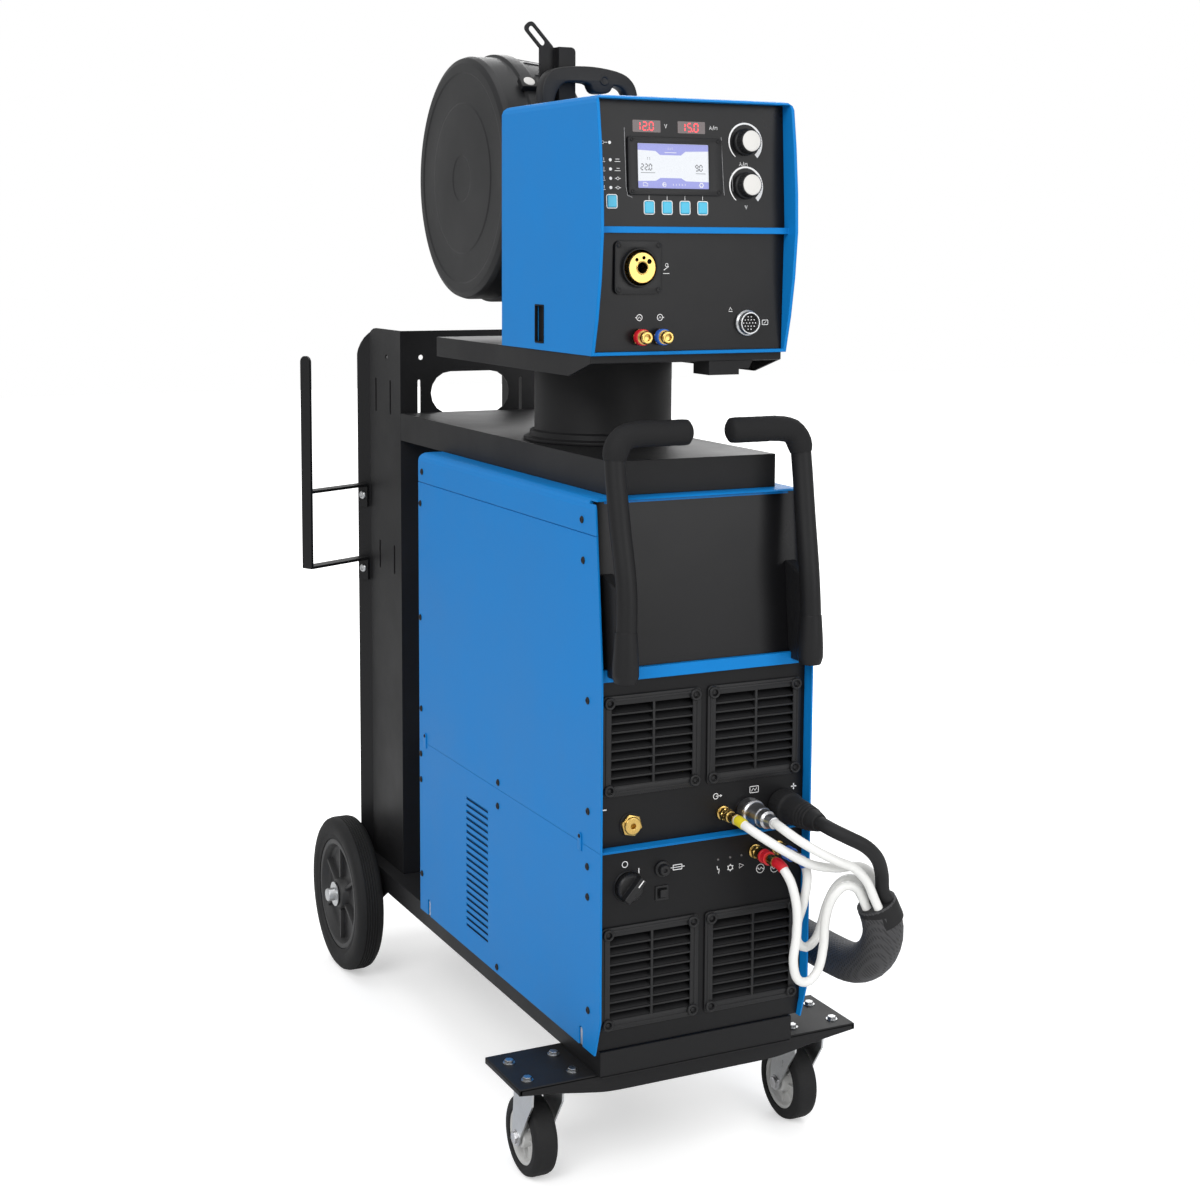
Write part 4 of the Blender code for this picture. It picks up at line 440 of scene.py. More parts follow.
class Marks:
    """Thin printed shapes on a front face, given by its depth y or y(z), gathered into one piece."""

    def __init__(self, y, ahead=0.0):
        self.depth = y if callable(y) else lambda v: y
        self.ahead = ahead + PRINT
        self.work = bmesh.new()

    def fill(self, points):
        self.work.faces.new([self.work.verts.new((u, self.depth(v) - self.ahead, v)) for u, v in points])

    def ribbon(self, points, width, closed=False):
        count = len(points)
        left, right = [], []
        for k in range(count):
            a = Vector(points[(k - 1) % count] if closed else points[max(k - 1, 0)])
            b = Vector(points[(k + 1) % count] if closed else points[min(k + 1, count - 1)])
            way = (b - a).normalized()
            side = Vector((-way.y, way.x)) * width / 2
            left.append(Vector(points[k]) + side)
            right.append(Vector(points[k]) - side)
        for k in range(count if closed else count - 1):
            n = (k + 1) % count
            self.fill((left[k], left[n], right[n], right[k]))

    def lines(self, width, *ends):
        for u0, v0, u1, v1 in ends:
            self.ribbon([(u0, v0), (u1, v1)], width)

    def ring(self, u, v, radius, width):
        self.ribbon(circle(u, v, radius, 36), width, True)

    def rays(self, u, v, inner, outer, width, start=0):
        for a in around(6):
            c, s = math.cos(math.radians(a + start)), math.sin(math.radians(a + start))
            self.lines(width, (u + inner * c, v + inner * s, u + outer * c, v + outer * s))

    def box(self, u0, v0, u1, v1, width, radius):
        self.ribbon(round_rect(u0, v0, u1, v1, radius, 4), width, True)

    def digits(self, text, u, v, height, width, stroke, gap):
        """Seven-segment figures from a lower left corner."""
        half, w, s = height / 2, width, stroke * 0.55
        for sign in text:
            if sign == ".":
                left, low = u - gap * 0.75, v - stroke * 0.3
                self.fill(round_rect(left, low, left + stroke, low + stroke, stroke * 0.3, 2))
                continue
            ends = {
                "a": (u + s, v + height, u + w - s, v + height),
                "b": (u + w, v + height - s, u + w, v + half + s),
                "c": (u + w, v + half - s, u + w, v + s), "d": (u + s, v, u + w - s, v),
                "e": (u, v + half - s, u, v + s), "f": (u, v + height - s, u, v + half + s),
                "g": (u + s, v + half, u + w - s, v + half),
            }
            self.lines(stroke, *[ends[segment] for segment in SEGMENTS[sign]])
            u += width + gap

    def done(self, name, finish, body="cart"):
        bmesh.ops.transform(self.work, matrix=TO_SCENE, verts=self.work.verts)
        for face in self.work.faces:
            face.normal_update()
            if face.normal.y > 0:
                face.normal_flip()
        place_mesh(name, self.work, finish, body)


def show(node, finish):
    """Gives a CAD node that stays its finish."""
    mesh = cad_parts[node].data
    mesh.materials.clear()
    mesh.materials.append(finish)
    mesh.shade_smooth()
    mesh.set_sharp_from_angle(angle=math.radians(32))


# ================================================================ camera, floor and light
FOCAL = 58.67
HORIZON = (469.69 - 600) / 1200
CAMERA_AT = (-1133, -2001, 1147.5)
HEADING, DIP, ROLL = -26.19, 6.66, 0.32
FLOOR_GLOW = 0.42  # near the part, so that its shadow stays
SKY = 0.62
WHITE = (1, 1, 1, 1)


def make_camera():
    lens = bpy.data.cameras.new("camera")
    lens.sensor_width = 36.0
    lens.lens = FOCAL
    lens.shift_y = HORIZON
    lens.clip_end = 50
    made = bpy.data.objects.new("camera", lens)
    bpy.context.scene.collection.objects.link(made)
    turn = Matrix.Translation(TO_SCENE @ Vector(CAMERA_AT))
    for angle, axis in ((HEADING, "Z"), (90 - DIP, "X"), (ROLL, "Z")):
        turn = turn @ Matrix.Rotation(math.radians(angle), 4, axis)
    made.matrix_world = turn
    bpy.context.scene.camera = made


def make_stage():
    """A white floor that looks brighter with distance, so that it meets the white background."""
    made, tree, shader = nodes_of("floor")
    place = add(tree, "TexCoord").outputs["Object"]
    noise = add(tree, "TexNoise", Vector=place, Scale=3.0, Detail=4.0).outputs["Fac"]
    reach = add(tree, "VectorMath", operation="LENGTH", _0=place).outputs["Value"]
    level = add(tree, "MapRange", _0=reach, _1=0.7, _2=2.6, _3=FLOOR_GLOW, _4=1.0).outputs["Result"]
    camera = add(tree, "LightPath").outputs["Is Camera Ray"]
    seen = add(tree, "Math", operation="MULTIPLY", _0=camera, _1=level).outputs[0]
    feed(tree, shader, {
        "Base Color": ramp(tree, noise, grey(0.80), grey(0.84)), "Roughness": 0.85, "Emission Color": WHITE,
        "Emission Strength": seen,
    })
    work = bmesh.new()
    bmesh.ops.create_grid(work, x_segments=8, y_segments=8, size=12.0)
    floor = place_mesh("floor", work, made, None)
    floor.location = (0, 0, -0.0002)


def make_light():
    world = bpy.data.worlds.new("studio")
    bpy.context.scene.world = world
    world.use_nodes = True
    tree = world.node_tree
    tree.nodes.clear()
    camera = add(tree, "LightPath").outputs["Is Camera Ray"]
    soft, plain = [add(tree, "Background", Color=WHITE, Strength=level).outputs[0] for level in (SKY, 1.0)]
    pick = add(tree, "MixShader", _0=camera, _1=soft, _2=plain)
    add(tree, "OutputWorld", Surface=pick.outputs[0])
    for name, place, aim, size, power in (
        ("key", (-2.6, -2.6, 3.2), (0, 0, 0.7), (2.2, 2.2), 100),
        ("front", (1.4, -3.6, 1.8), (0, -0.3, 0.6), (1.8, 2.6), 44),
        ("back", (1.8, 2.6, 2.6), (0, 0, 0.8), (2.0, 2.0), 46),
        ("top", (0, 0, 4.0), (0, 0, 0), (2.4, 2.4), 34),
    ):
        light = bpy.data.lights.new(name, "AREA")
        light.shape = "RECTANGLE"
        light.size, light.size_y = size
        light.energy = power
        made = bpy.data.objects.new(name, light)
        bpy.context.scene.collection.objects.link(made)
        made.location = place
        made.rotation_euler = (Vector(aim) - Vector(place)).to_track_quat("-Z", "Y").to_euler()
    bpy.context.scene.view_settings.view_transform = "Standard"


# ================================================================ hoses, cables and their fittings
RECESS, GAP = 16, 0.3
FACE = RECESS - GAP
SHELF_TOP, DECK_TOP = 890, 1013.5
POST_Y, POST_R = 295, 90
HOSE_R, CABLE_R, SLEEVE_R = 5.6, 8.5, 25
RED_X, BLUE_X, WATER_Z = 74, 107, 402
GAS_X, CONTROL_X, PLUG_X, PLUG_Z = 28, 62, 112, 456
COUPLING_LENGTH, GAS_LENGTH, CONTROL_LENGTH, PLUG_LENGTH = 50, 34, 66, 88
SLEEVE_BEND, SLEEVE_RISE, SLEEVE_SAG_Z, SLEEVE_SIDE_X = 100, 250, 246, 176
ENTRY_Z = SHELF_TOP + 2 * GAP + SLEEVE_R + 6
ENTRY_DIR = Vector((0.573, 0.8195, 0)).normalized()
MOUTH = Vector((186, -86, 352))
MOUTH_DIR = Vector((0.42, -0.06, -0.905)).normalized()


def mouth_point(across, front, back=0.0):
    side = MOUTH_DIR.cross(Vector((0, 1, 0))).normalized()
    return MOUTH + side * across + MOUTH_DIR.cross(side) * front - MOUTH_DIR * (back + GAP)


def cord_path(points, start_way, end_way, radius, spacing):
    """A smooth route with a short straight length at each end."""
    path = smooth_path(points, spacing)
    straight = radius * 0.6
    path.insert(1, path[0] + Vector(start_way) * straight)
    path.insert(-1, path[-1] - Vector(end_way) * straight)
    return path


def cord(name, path, radius, finish, slot, node):
    """A cord that replaces its CAD solid. path runs from its far end to its exit."""
    path = path[::-1]
    work = Piece()
    work.sweep(path, radius, 24)
    made = work.done(name, finish, slot, node=node)
    path = [TO_SCENE @ p for p in path]


def sleeve_route():
    post = Vector((0, POST_Y, ENTRY_Z))
    climb = post + ENTRY_DIR * (SLEEVE_SIDE_X / ENTRY_DIR.x)
    tail_x = 190
    quarter = [(a / 90, math.sin(math.radians(a)), math.cos(math.radians(a))) for a in range(0, 91, 15)]
    route = [
        MOUTH, (194, -87, 331), (199.5, -83, 308), (201, -70, 283), (201, -48, 263), (200, -18, 250),
        (199, 25, SLEEVE_SAG_Z), (196, 110, SLEEVE_SAG_Z),
    ]
    for share, s, c in quarter:
        route.append((tail_x + (SLEEVE_SIDE_X - tail_x) * share, climb.y - SLEEVE_RISE * (1 - s),
                      SLEEVE_SAG_Z + SLEEVE_RISE * (1 - c)))
    route.append((SLEEVE_SIDE_X, climb.y, 660))
    for share, s, c in quarter:
        spot = climb - ENTRY_DIR * SLEEVE_BEND * (1 - c)
        route.append((spot.x, spot.y, ENTRY_Z - SLEEVE_BEND * (1 - s)))
    route.append(post + ENTRY_DIR * (POST_R - 10))
    return route


def band(name, path, at, length, finish):
    """A short sleeve round a hose, starting a given length along its path."""
    radius = HOSE_R + 0.9
    gone, points = 0.0, []
    for a, b in zip(path, path[1:]):
        step = (b - a).length
        points += [a.lerp(b, k / 4) for k in range(4) if at <= gone + step * k / 4 <= at + length]
        gone += step
    work = Piece()
    work.sweep(points, [radius * 0.985] + [radius] * (len(points) - 2) + [radius * 0.985], 24)
    return work.done(name, finish, "white_hose")


def water_coupling(name, x, z, length, node, colour=None):
    """A brass nipple with a knurled collar, hexagon and ferrule; colour adds a sliding collar."""
    at, ferrule = (x, FACE, z), HOSE_R + 1
    work = Piece()
    work.lathe([(0, 0), (8.8, 0), (8.8, 3), (6.8, 3.4), (6.8, 8.5), (7.2, 9), (7.2, length * 0.62),
                (5.8, length * 0.64), (5.8, length * 0.70), (ferrule, length * 0.72), (ferrule, length),
                (0, length)], at, soft=0.4)
    work.nut((x, FACE - 4.5, z), 8.6, 7)
    work.studs(around(24), (x, FACE - length * 0.36, z), 7.1, (0.4, length * 0.10, 0.4))
    pieces = [work.done(name, BRASS, "brass", node=node)]
    if colour:
        near, far = length * 0.44, length * 0.72
        work = Piece()
        work.lathe([(6, near), (8.2, near), (8.8, near + 1.2), (8.8, near + 3.6), (8, near + 4.2),
                    (8, far - 3),
                    (8.6, far - 2.4), (8.6, far - 0.6), (7.8, far), (6, far)], at, closed=True, soft=0.4)
        pieces.append(work.done(name + "_collar", colour, "brass"))
    return pieces


def make_control_plug():
    work, length = Piece(), CONTROL_LENGTH
    work.lathe([(0, 0), (14, 0), (14, 3), (16, 4), (16, 19.5), (14.2, 21), (13.4, 23), (12.5, length - 26),
                (11.2, length - 24), (11.2, length - 15), (8.5, length - 12), (HOSE_R + 1.6, length),
                (0, length)],
               (CONTROL_X, FACE, PLUG_Z), 56, soft=0.6)
    work.studs(around(36), (CONTROL_X, FACE - 11.8, PLUG_Z), 15.8, (0.45, 6.6, 0.5))
    return [work.done("control_plug_shell", STEEL, "zinc", node="control_plug")]


def make_power_plug():
    profile = [(0, 0), (18.5, 0), (20, 1.2), (20, 22.5), (18.8, 24.5), (17.6, 27), (16.8, 48)]
    for k in range(4):
        s, r = 50 + 5.8 * k, 16.5 - 0.6 * k
        profile += [(r, s), (r, s + 3), (r - 1.7, s + 3.4), (r - 1.7, s + 5.4)]
    profile += [(13.5, 74.5), (CABLE_R + 2.5, PLUG_LENGTH - 2), (CABLE_R + 1.8, PLUG_LENGTH),
                (0, PLUG_LENGTH)]
    work = Piece()
    work.lathe(profile, (PLUG_X, FACE, PLUG_Z), 56, soft=0.5)
    work.studs(around(20), (PLUG_X, FACE - 12, PLUG_Z), 19.7, (0.9, 8, 0.3), (-0.9, -8, -0.4))
    return [work.done("power_plug_boot", RUBBER, "rubber", node="power_plug")]


def lead(name, node, fitting, start, points, mouth, tag=None, radius=HOSE_R, spacing=6, finish=HOSE,
         slot="white_hose"):
    """A hose or cable from its fitting to the sleeve's mouth; tag is a band's finish, start and length."""
    x, z, length, straight = start
    route = [(x, FACE - length - GAP, z), (x, straight, z), *points, mouth_point(*mouth, 14),
             mouth_point(*mouth)]
    path = cord_path(route, FRONT, MOUTH_DIR, radius, spacing)
    if tag:
        colour, at, size = tag
        fitting = [*fitting, band(name + "_band", path, at, size, colour)]
    cord(name, path, radius, finish, slot, node)


def make_bundle():
    sleeve = cord_path(sleeve_route(), MOUTH_DIR, -ENTRY_DIR, SLEEVE_R, 12)
    work = Piece()
    work.sweep([MOUTH - MOUTH_DIR * 0.2, *[MOUTH + MOUTH_DIR * 4 * k for k in range(1, 8)]],
               [SLEEVE_R * 0.96, *[SLEEVE_R * 1.012] * 6, SLEEVE_R * 0.999], 32)
    cuff = work.done("sleeve_cuff", RUBBER, "rubber")
    cord("sleeve", sleeve, SLEEVE_R, braid((0.030, 0.030, 0.032)), "rubber", "cable_sleeve")
    red = water_coupling("red_coupling", RED_X, WATER_Z, COUPLING_LENGTH, "coupling_red", RED)
    blue = water_coupling("blue_coupling", BLUE_X, WATER_Z, COUPLING_LENGTH, "coupling_blue", BAND_BLUE)
    gas = water_coupling("gas_coupling", GAS_X, PLUG_Z, GAS_LENGTH, "coupling_gas")
    control, power = make_control_plug(), make_power_plug()
    lead("red_hose", "hose_red", red, (RED_X, WATER_Z, COUPLING_LENGTH, -44), [
        (75, -56, 396), (80, -64, 380), (86, -66, 350), (86, -66, 318), (82, -66, 288), (88, -66, 264),
        (104, -66, 258), (118, -66, 272), (124, -67, 300), (123, -72, 335), (128, -78, 362), (142, -83, 377),
        (157, -86, 373),
    ], (-15, 1), (RED, 0.6, 20))
    lead("blue_hose", "hose_blue", blue, (BLUE_X, WATER_Z, COUPLING_LENGTH, -41), [
        (107, -51, 396), (106, -56, 380), (103, -53, 352), (98, -48, 326), (101, -44, 302), (114, -44, 292),
        (127, -46, 303), (132, -51, 325), (135, -56, 347), (143, -62, 369), (156, -67, 380), (169, -69, 375),
    ], (-4, -16.5), (BAND_BLUE, 0.6, 20))
    lead("gas_hose", "hose_gas", gas, (GAS_X, PLUG_Z, GAS_LENGTH, -27), [
        (32, -44, 451), (46, -60, 440), (70, -70, 424), (100, -74, 407), (135, -75, 398), (164, -76, 397),
        (183, -77, 387),
    ], (13, -8), (YELLOW, 4, 14))
    lead("signal_lead", "control_cable", control, (CONTROL_X, PLUG_Z, CONTROL_LENGTH, -58), [
        (66, -73, 451), (78, -86, 441), (98, -94, 428), (122, -99, 415), (144, -100, 404), (162, -101, 385),
    ], (-7.5, 16.5))
    lead("supply_lead", "power_cable", power, (PLUG_X, PLUG_Z, PLUG_LENGTH, -80), [
        (116, -96, 453), (129, -109, 446), (150, -115, 434), (170, -110, 415), (183, -101, 392),
    ], (9, 11.5), None, CABLE_R, 7, RUBBER, "rubber")


# ================================================================ casings, fronts and grilles
CASE_HALF = 145
SEAM_Z, COOLER_Z, POWER_TOP = 431, 178, 849
STRIPE_Z, STRIPE_H, CASE_LEAN = 634, 14.5, 20
STRIPE_TOP = STRIPE_Z + STRIPE_H
SKIN, PANEL_T, CAVITY = 2.2, 4, 60
GRILLE_EDGE, TOWER_R, SLAT_TILT, SLATS = 11.5, 7.4, 36, 9
CORE_FINS, CORE_TUBES = 46, 9


def lean_at(z):
    return max(0.0, (z - STRIPE_TOP) / (POWER_TOP - STRIPE_TOP)) * CASE_LEAN


def make_grille(name, node, low, high):
    """Two moulded frames with rims, sloping slats, a rib and screw towers, before a radiator core."""
    front, bottom, top = RECESS - 2.8, low + GRILLE_EDGE, high - GRILLE_EDGE
    tilt = Matrix.Rotation(math.radians(SLAT_TILT), 4, "X")
    work, hole_shade, core = Piece(), Piece(), Piece()
    for sign in (-1, 1):
        x0, x1 = sorted((sign * 4.5, sign * 136.5))
        left, right = x0 + GRILLE_EDGE, x1 - GRILLE_EDGE
        work.plate([round_rect(x0, low, x1, high, 5.5, 6), round_rect(left, bottom, right, top, 2.5, 4)],
                   front, FACE, bevel=0.8)
        work.plate([round_rect(x0 + d, low + d, x1 - d, high - d, r) for d, r in ((3.5, 4), (6.2, 3.5))],
                   front - 0.9, front + 0.6, bevel=0.3)
        for k in range(SLATS):
            z = bottom + (top - bottom) / SLATS * k + 1.2
            work.box((left - 1, front + 0.4, z + 1.2), (right + 1, front + 13.6, z + 3.4), 0.6, 2, tilt)
            work.box((left - 1, front + 0.6, z - 2.4), (right + 1, front + 2.4, z), 0.5)
        middle = (x0 + x1) / 2 + 2
        work.box((middle - 1.7, front + 0.3, bottom - 1), (middle + 1.7, front + 5, top + 1), 0.5)
        for x in (x0 + TOWER_R + 0.8, x1 - TOWER_R - 0.8):
            for z in (low + TOWER_R + 0.8, high - TOWER_R - 0.8):
                tower = [(4.4, 0), (4.4, 3.2), (6.4, 3.6), (TOWER_R, 2.4), (TOWER_R, 0)]
                work.lathe(tower, (x, front, z), 32, soft=0.3)
                # Painted shade: dark discs down in the screw towers' holes.
                hole_shade.lathe([(0, 0.6), (4.4, 0.6), (4.4, -0.4)], (x, front, z), 24)
                work.screw((x, front - 0.4, z), radius=3, height=1.2)
        x0, x1 = sorted((sign * 14, sign * 127))
        for k in range(CORE_FINS):
            x = x0 + (x1 - x0) * (k + 0.5) / CORE_FINS
            core.box((x - 0.35, 38, low + 10), (x + 0.35, 52, high - 10))
        for k in range(CORE_TUBES):
            z = low + 14 + (high - low - 28) * k / (CORE_TUBES - 1)
            core.lathe([(0, x0), (2.2, x0), (2.2, x1), (0, x1)], (0, 45, z), 10, RIGHT)
    work.done(name, MOULD, node=node, sharp=40)
    hole_shade.done(name + "_wells", PAINTED_SHADE)
    core.done(name + "_core", FINS, "zinc")


def make_shade_liner(name, low, high):
    """Painted shade: near-black sheets against the walls of the space behind a pair of grilles, darkening
    the cavity where shade falls.
    """
    side, near, sheet = CASE_HALF - SKIN, RECESS + PANEL_T + 2 * GAP, 1
    work = Piece()
    work.box((-side, CAVITY - sheet, low), (side, CAVITY + sheet, high))
    for z in (low, high):
        work.box((-side, near, z - sheet), (side, CAVITY, z + sheet))
    for sign in (-1, 1):
        work.box((sign * (side - sheet), near, low), (sign * (side + sheet / 2), CAVITY, high))
    work.done(name, PAINTED_SHADE)


def make_side_fittings():
    screws = ((588, 411), (588, 373), (307, 408), (586, 233), (310, 187), (36, 406), (35, 369), (32, 229),
              (579, 822), (586, 776), (55, 822), (51, 774), (588, 611), (586, 478), (37, 608), (35, 474),
              (306, 440))
    work, tabs, clips, louvre_shade = Piece(), Piece(), Piece(), Piece()
    for sign in (-1, 1):
        out, face = (sign, 0, 0), sign * CASE_HALF
        for y, z in screws:
            work.screw((face, y, z), out)
        for y, z in ((570, 441), (56, 438)):
            outline = [(y - 4.8, z - 17), (y + 4.8, z - 17), *arc(y, z, 4.8, 0, 180, 10)]
            tabs.plate([outline], face, face + sign * 1.4, "X", 0.3)
            work.screw((face + sign * 1.3, y, z + 0.4), out, 2.7, 1.4)
        for y in (52, 559):
            foot = COOLER_Z + 0.4
            outline = [(y - 4.2, foot), (y + 4.2, foot), *arc(y, foot + 17.8, 4.2, 0, 180, 10)]
            clips.plate([outline], face - sign * 3, face - sign * 1.4, "X")
        # Painted shade: near-black slats set into the side faces, standing in for the shade in the louvre
        # slots.
        for k in range(20):
            z = 392.5 - k * 9.4
            turn = Matrix.Rotation(math.radians(-28 * sign), 4, "Y")
            louvre_shade.box((face - sign * 2.8, 341.2, z - 4.4), (face - sign * 0.3, 416.8, z - 3.4), turn=turn)
    work.done("casing_screws", BLACK, "powder_black", sharp=40)
    tabs.done("seam_tabs", BLUE, "powder_blue")
    clips.done("foot_clips", STEEL, "zinc")
    louvre_shade.done("side_louvre_shade", PAINTED_SHADE, "powder_blue")


def make_cooler_marks():
    marks = Marks(RECESS)
    marks.ring(-105, 409, 3.6, 1)
    marks.lines(1.2, (-86.2, 394.5, -86.2, 402))
    marks.box(-39.5, 393, -27.5, 399, 0.9, 0.4)
    marks.lines(0.8, (-43, 396, -23.8, 396))
    marks.lines(0.9, (21.5, 389.5, 22.2, 385), (22.2, 385, 24.6, 385.6), (24.6, 385.6, 24, 380.2))
    marks.fill([(22.8, 381.8), (25, 381.8), (23.8, 379)])
    marks.ring(40.2, 385, 3, 1)
    marks.rays(40.2, 385, 3.2, 4.6, 1.2, 30)
    marks.ribbon([(53, 388.5), (53, 382.5), (59, 385.5)], 0.9, True)
    for x, z in ((83, 378), (103.5, 376)):
        marks.ring(x, z, 5.5, 0.7)
        wave = [(x - 5 + 10 * k / 12, z + 1.4 * math.sin(k / 12 * 4 * math.pi)) for k in range(13)]
        marks.ribbon(wave, 0.7)
    marks.done("cooler_marks", INK)


def make_cooler_front():
    show("cooler_front", PANEL)
    make_cooler_marks()
    work = Piece()
    for x, z in ((23, 397.5), (40, 398), (56, 398.5)):
        work.lathe([(0, 1.2), (0.8, 1.1), (1.4, 0.7), (1.7, 0)], (x, RECESS, z), 20)
    work.done("cooler_lamps", LAMP)

    x, z = -55, 397
    work = Piece()
    work.lathe([(0, 7.2), (2.2, 7.2), (2.6, 9.8), (6, 10), (6.8, 8.5), (7, 3), (9.8, 2.4), (10, 0), (0, 0)],
               (x, FACE, z), soft=0.4)
    work.studs(around(16), (x, FACE - 5.8, z), 6.9, (0.4, 2.4, 0.3), (-0.4, -2.4, -0.4))
    work.done("fuse_cap", MOULD, node="fuse_holder")

    work = Piece()
    work.plate([round_rect(-64, 358, -46, 376, 1.5, 4), round_rect(-61.2, 360.8, -48.8, 373.2, 0.8, 3)],
               RECESS - 1.6, RECESS + 0.2, bevel=0.3)
    work.box((-59, RECESS - 5.2, 362.2), (-49.2, RECESS + 1.6, 371.8), 1)
    work.done("service_socket", MOULD)
    # Painted shade: a dark sheet behind the service socket's opening.
    work = Piece()
    work.box((-62.2, RECESS + 1, 359.8), (-47.8, RECESS + 1.6, 374.2))
    work.done("service_socket_shade", PAINTED_SHADE)

    x, z, front = -100, 381, RECESS - 1
    turned = ((x, 0, z), math.radians(42), "Y")
    work = Piece()
    work.lathe([(18.3, 0), (18.3, 0.8), (19.6, 1.2), (20.4, 0)], (x, RECESS - 0.1, z), 56, soft=0.2,
               soft_steps=1)
    work.done("switch_plate", MOULD)
    work = Piece()
    work.lathe([(0, 8.5), (14.8, 8.5), (17.2, 6), (18, 0), (0, 0)], (x, front, z), 64, soft=0.7,
               soft_steps=3)
    work.box((x - 4.6, front - 19, z - 16.8), (x + 4.6, front - 4, z + 16.8), 1.2, 3)
    knurls = [60 + 12 * k + flip for k in range(10) for flip in (0, 180)]
    work.studs(knurls, (x, front - 3.5, z), 17.6, (0.5, 2.6, 0.4))
    work.spin(*turned)
    work.done("switch_dial", MOULD, body="cooler_switch", node="cooler_switch")
    work = Piece()
    work.box((x - 0.7, front - 19.2, z + 5.5), (x + 0.7, front - 18.7, z + 15.8))
    work.spin(*turned)
    work.done("switch_pointer", INK, body="cooler_switch")


def make_power_fronts():
    show("power_front_lower", PANEL)
    show("power_front_upper", FILM)
    marks = Marks(RECESS)
    marks.lines(1.5, (-137.2, 479, -130, 479), (125.5, 477, 133, 477), (129.2, 473.2, 129.2, 480.8))
    marks.ring(18.5, 477.5, 3.4, 0.8)
    marks.lines(0.8, (18.5, 477.5, 25.8, 477.5))
    marks.fill([(24.8, 479.2), (24.8, 475.8), (27.6, 477.5)])
    marks.box(66.5, 475.8, 78.5, 483.6, 0.8, 0.6)
    marks.ribbon([(68.8, 477.6), (71.2, 481.2), (73.6, 478.4), (76.2, 481.4)], 0.8)
    marks.done("power_marks", INK)
    icons, line = [Marks(lambda z: RECESS + lean_at(z)) for k in range(2)]
    for z in (768, 752, 737):
        icons.ring(-96, z, 3.1, 0.7)
        icons.lines(0.7, (-96, z + 4.2, -96, z + 2))
    icons.done("power_icons", INK)
    line.fill(rectangle(-126, 841.8, 126, 844))
    line.done("power_line", STRIPE)

    x, z = -98, PLUG_Z + 1
    work = Piece()
    work.lathe([(3.5, 1), (3.5, 8), (10, 8), (10.8, 7), (10.8, 0)], (x, FACE, z), soft=0.5)
    work.lathe([(0, 1.2), (3.5, 1)], (x, FACE, z))
    work.nut((x, FACE - 0.8, z), 13.8, 4, hole=10.5)
    work.done("negative_terminal", BRASS, "brass", node="negative_socket")
    work = Piece()
    work.lathe([(11, 0), (11, 0.9), (14.8, 0.9), (15, 0)], (x, FACE, z), soft=0.2, soft_steps=1)
    work.done("negative_washer", RUBBER)


def make_cart_fronts():
    for node in ("cooler_casing", "power_casing", "feeder_casing"):
        show(node, BLUE)
    for node in ("chassis", "mast", "cable_hanger", "lower_shelf", "upper_shelf"):
        show(node, BLACK)
    make_grille("cooler_frames", "cooler_grilles", 206, 334)
    make_grille("power_frames", "power_grilles", 494, 616)
    # Painted shade in the cavities behind the grilles.
    make_shade_liner("cooler_shade_liner", COOLER_Z + 27, SEAM_Z - 20)
    make_shade_liner("power_shade_liner", SEAM_Z + 55, STRIPE_Z + STRIPE_H / 2 - 24)


PLATE_HALF, PLATE_FRONT, PLATE_BACK, PLATE_TOP, PLATE_T = 236, 29, 135, 147, 4
SKIRT_END, SKIRT_DEEP = 8, 25
CASTER_X, PIVOT_Y = 186, 78


def make_front_plate():
    """The folded cross plate: a flat top, skirts that deepen towards the middle, and two caster pads."""
    under, brim = PLATE_TOP - PLATE_T, PLATE_TOP - 0.8
    work = Piece()
    work.box((-PLATE_HALF, PLATE_FRONT, under), (PLATE_HALF, PLATE_BACK, PLATE_TOP), 1.2, 3)
    foot = ((-PLATE_HALF, SKIRT_END), (-190, 13.5), (-150, 20), (-122, 24), (-95, SKIRT_DEEP),
            (-60, SKIRT_DEEP))
    curve = [tuple(p) for p in smooth_path([(x, PLATE_TOP - depth) for x, depth in foot], 6)]
    mirror = [(-x, z) for x, z in reversed(curve)]
    for y0 in (PLATE_FRONT, PLATE_BACK - PLATE_T):
        work.plate([[(-PLATE_HALF, brim), *curve, *mirror, (PLATE_HALF, brim)]], y0, y0 + PLATE_T, bevel=0.8)
    for sign in (-1, 1):
        x = sign * CASTER_X
        work.box((sign * (PLATE_HALF - PLATE_T), PLATE_FRONT, PLATE_TOP - SKIRT_END),
                 (sign * PLATE_HALF, PLATE_BACK, brim), 0.8)
        work.plate([round_rect(x - 42, PIVOT_Y - 38, x + 42, PIVOT_Y + 38, 8)], under - 3, under + 0.5, "Z",
                   0.6)
    work.box((-133, 18.6, PLATE_TOP - 1.6), (133, PLATE_FRONT + 2, PLATE_TOP - 0.2), 0.6)
    work.done("cross_plate", BLACK, "powder_black", node="front_plate", sharp=40)


# ================================================================ handles
HANDLE_X, HANDLE_R, GRIP_R, GRIP_Z, GRIP_START_Z = 125.5, 12.5, 15.5, 925, 893
FOOT_Z, FOOT_END_Z = 640.5, 700


def handle_line(sign):
    x = -HANDLE_X
    points = [
        (x, -22.5, 646), (x, -23.5, 690), (x + 1.5, -20, 750), (x, -6, 820), (x - 1, 5, 880),
        (x + 1, 8.5, 906),
        (x + 12, 10, GRIP_Z - 4), (x + 34, 10, GRIP_Z), (-70, 10, GRIP_Z), (-30, 10, GRIP_Z),
    ]
    return smooth_path([(-sign * u, y, z) for u, y, z in points], 6)


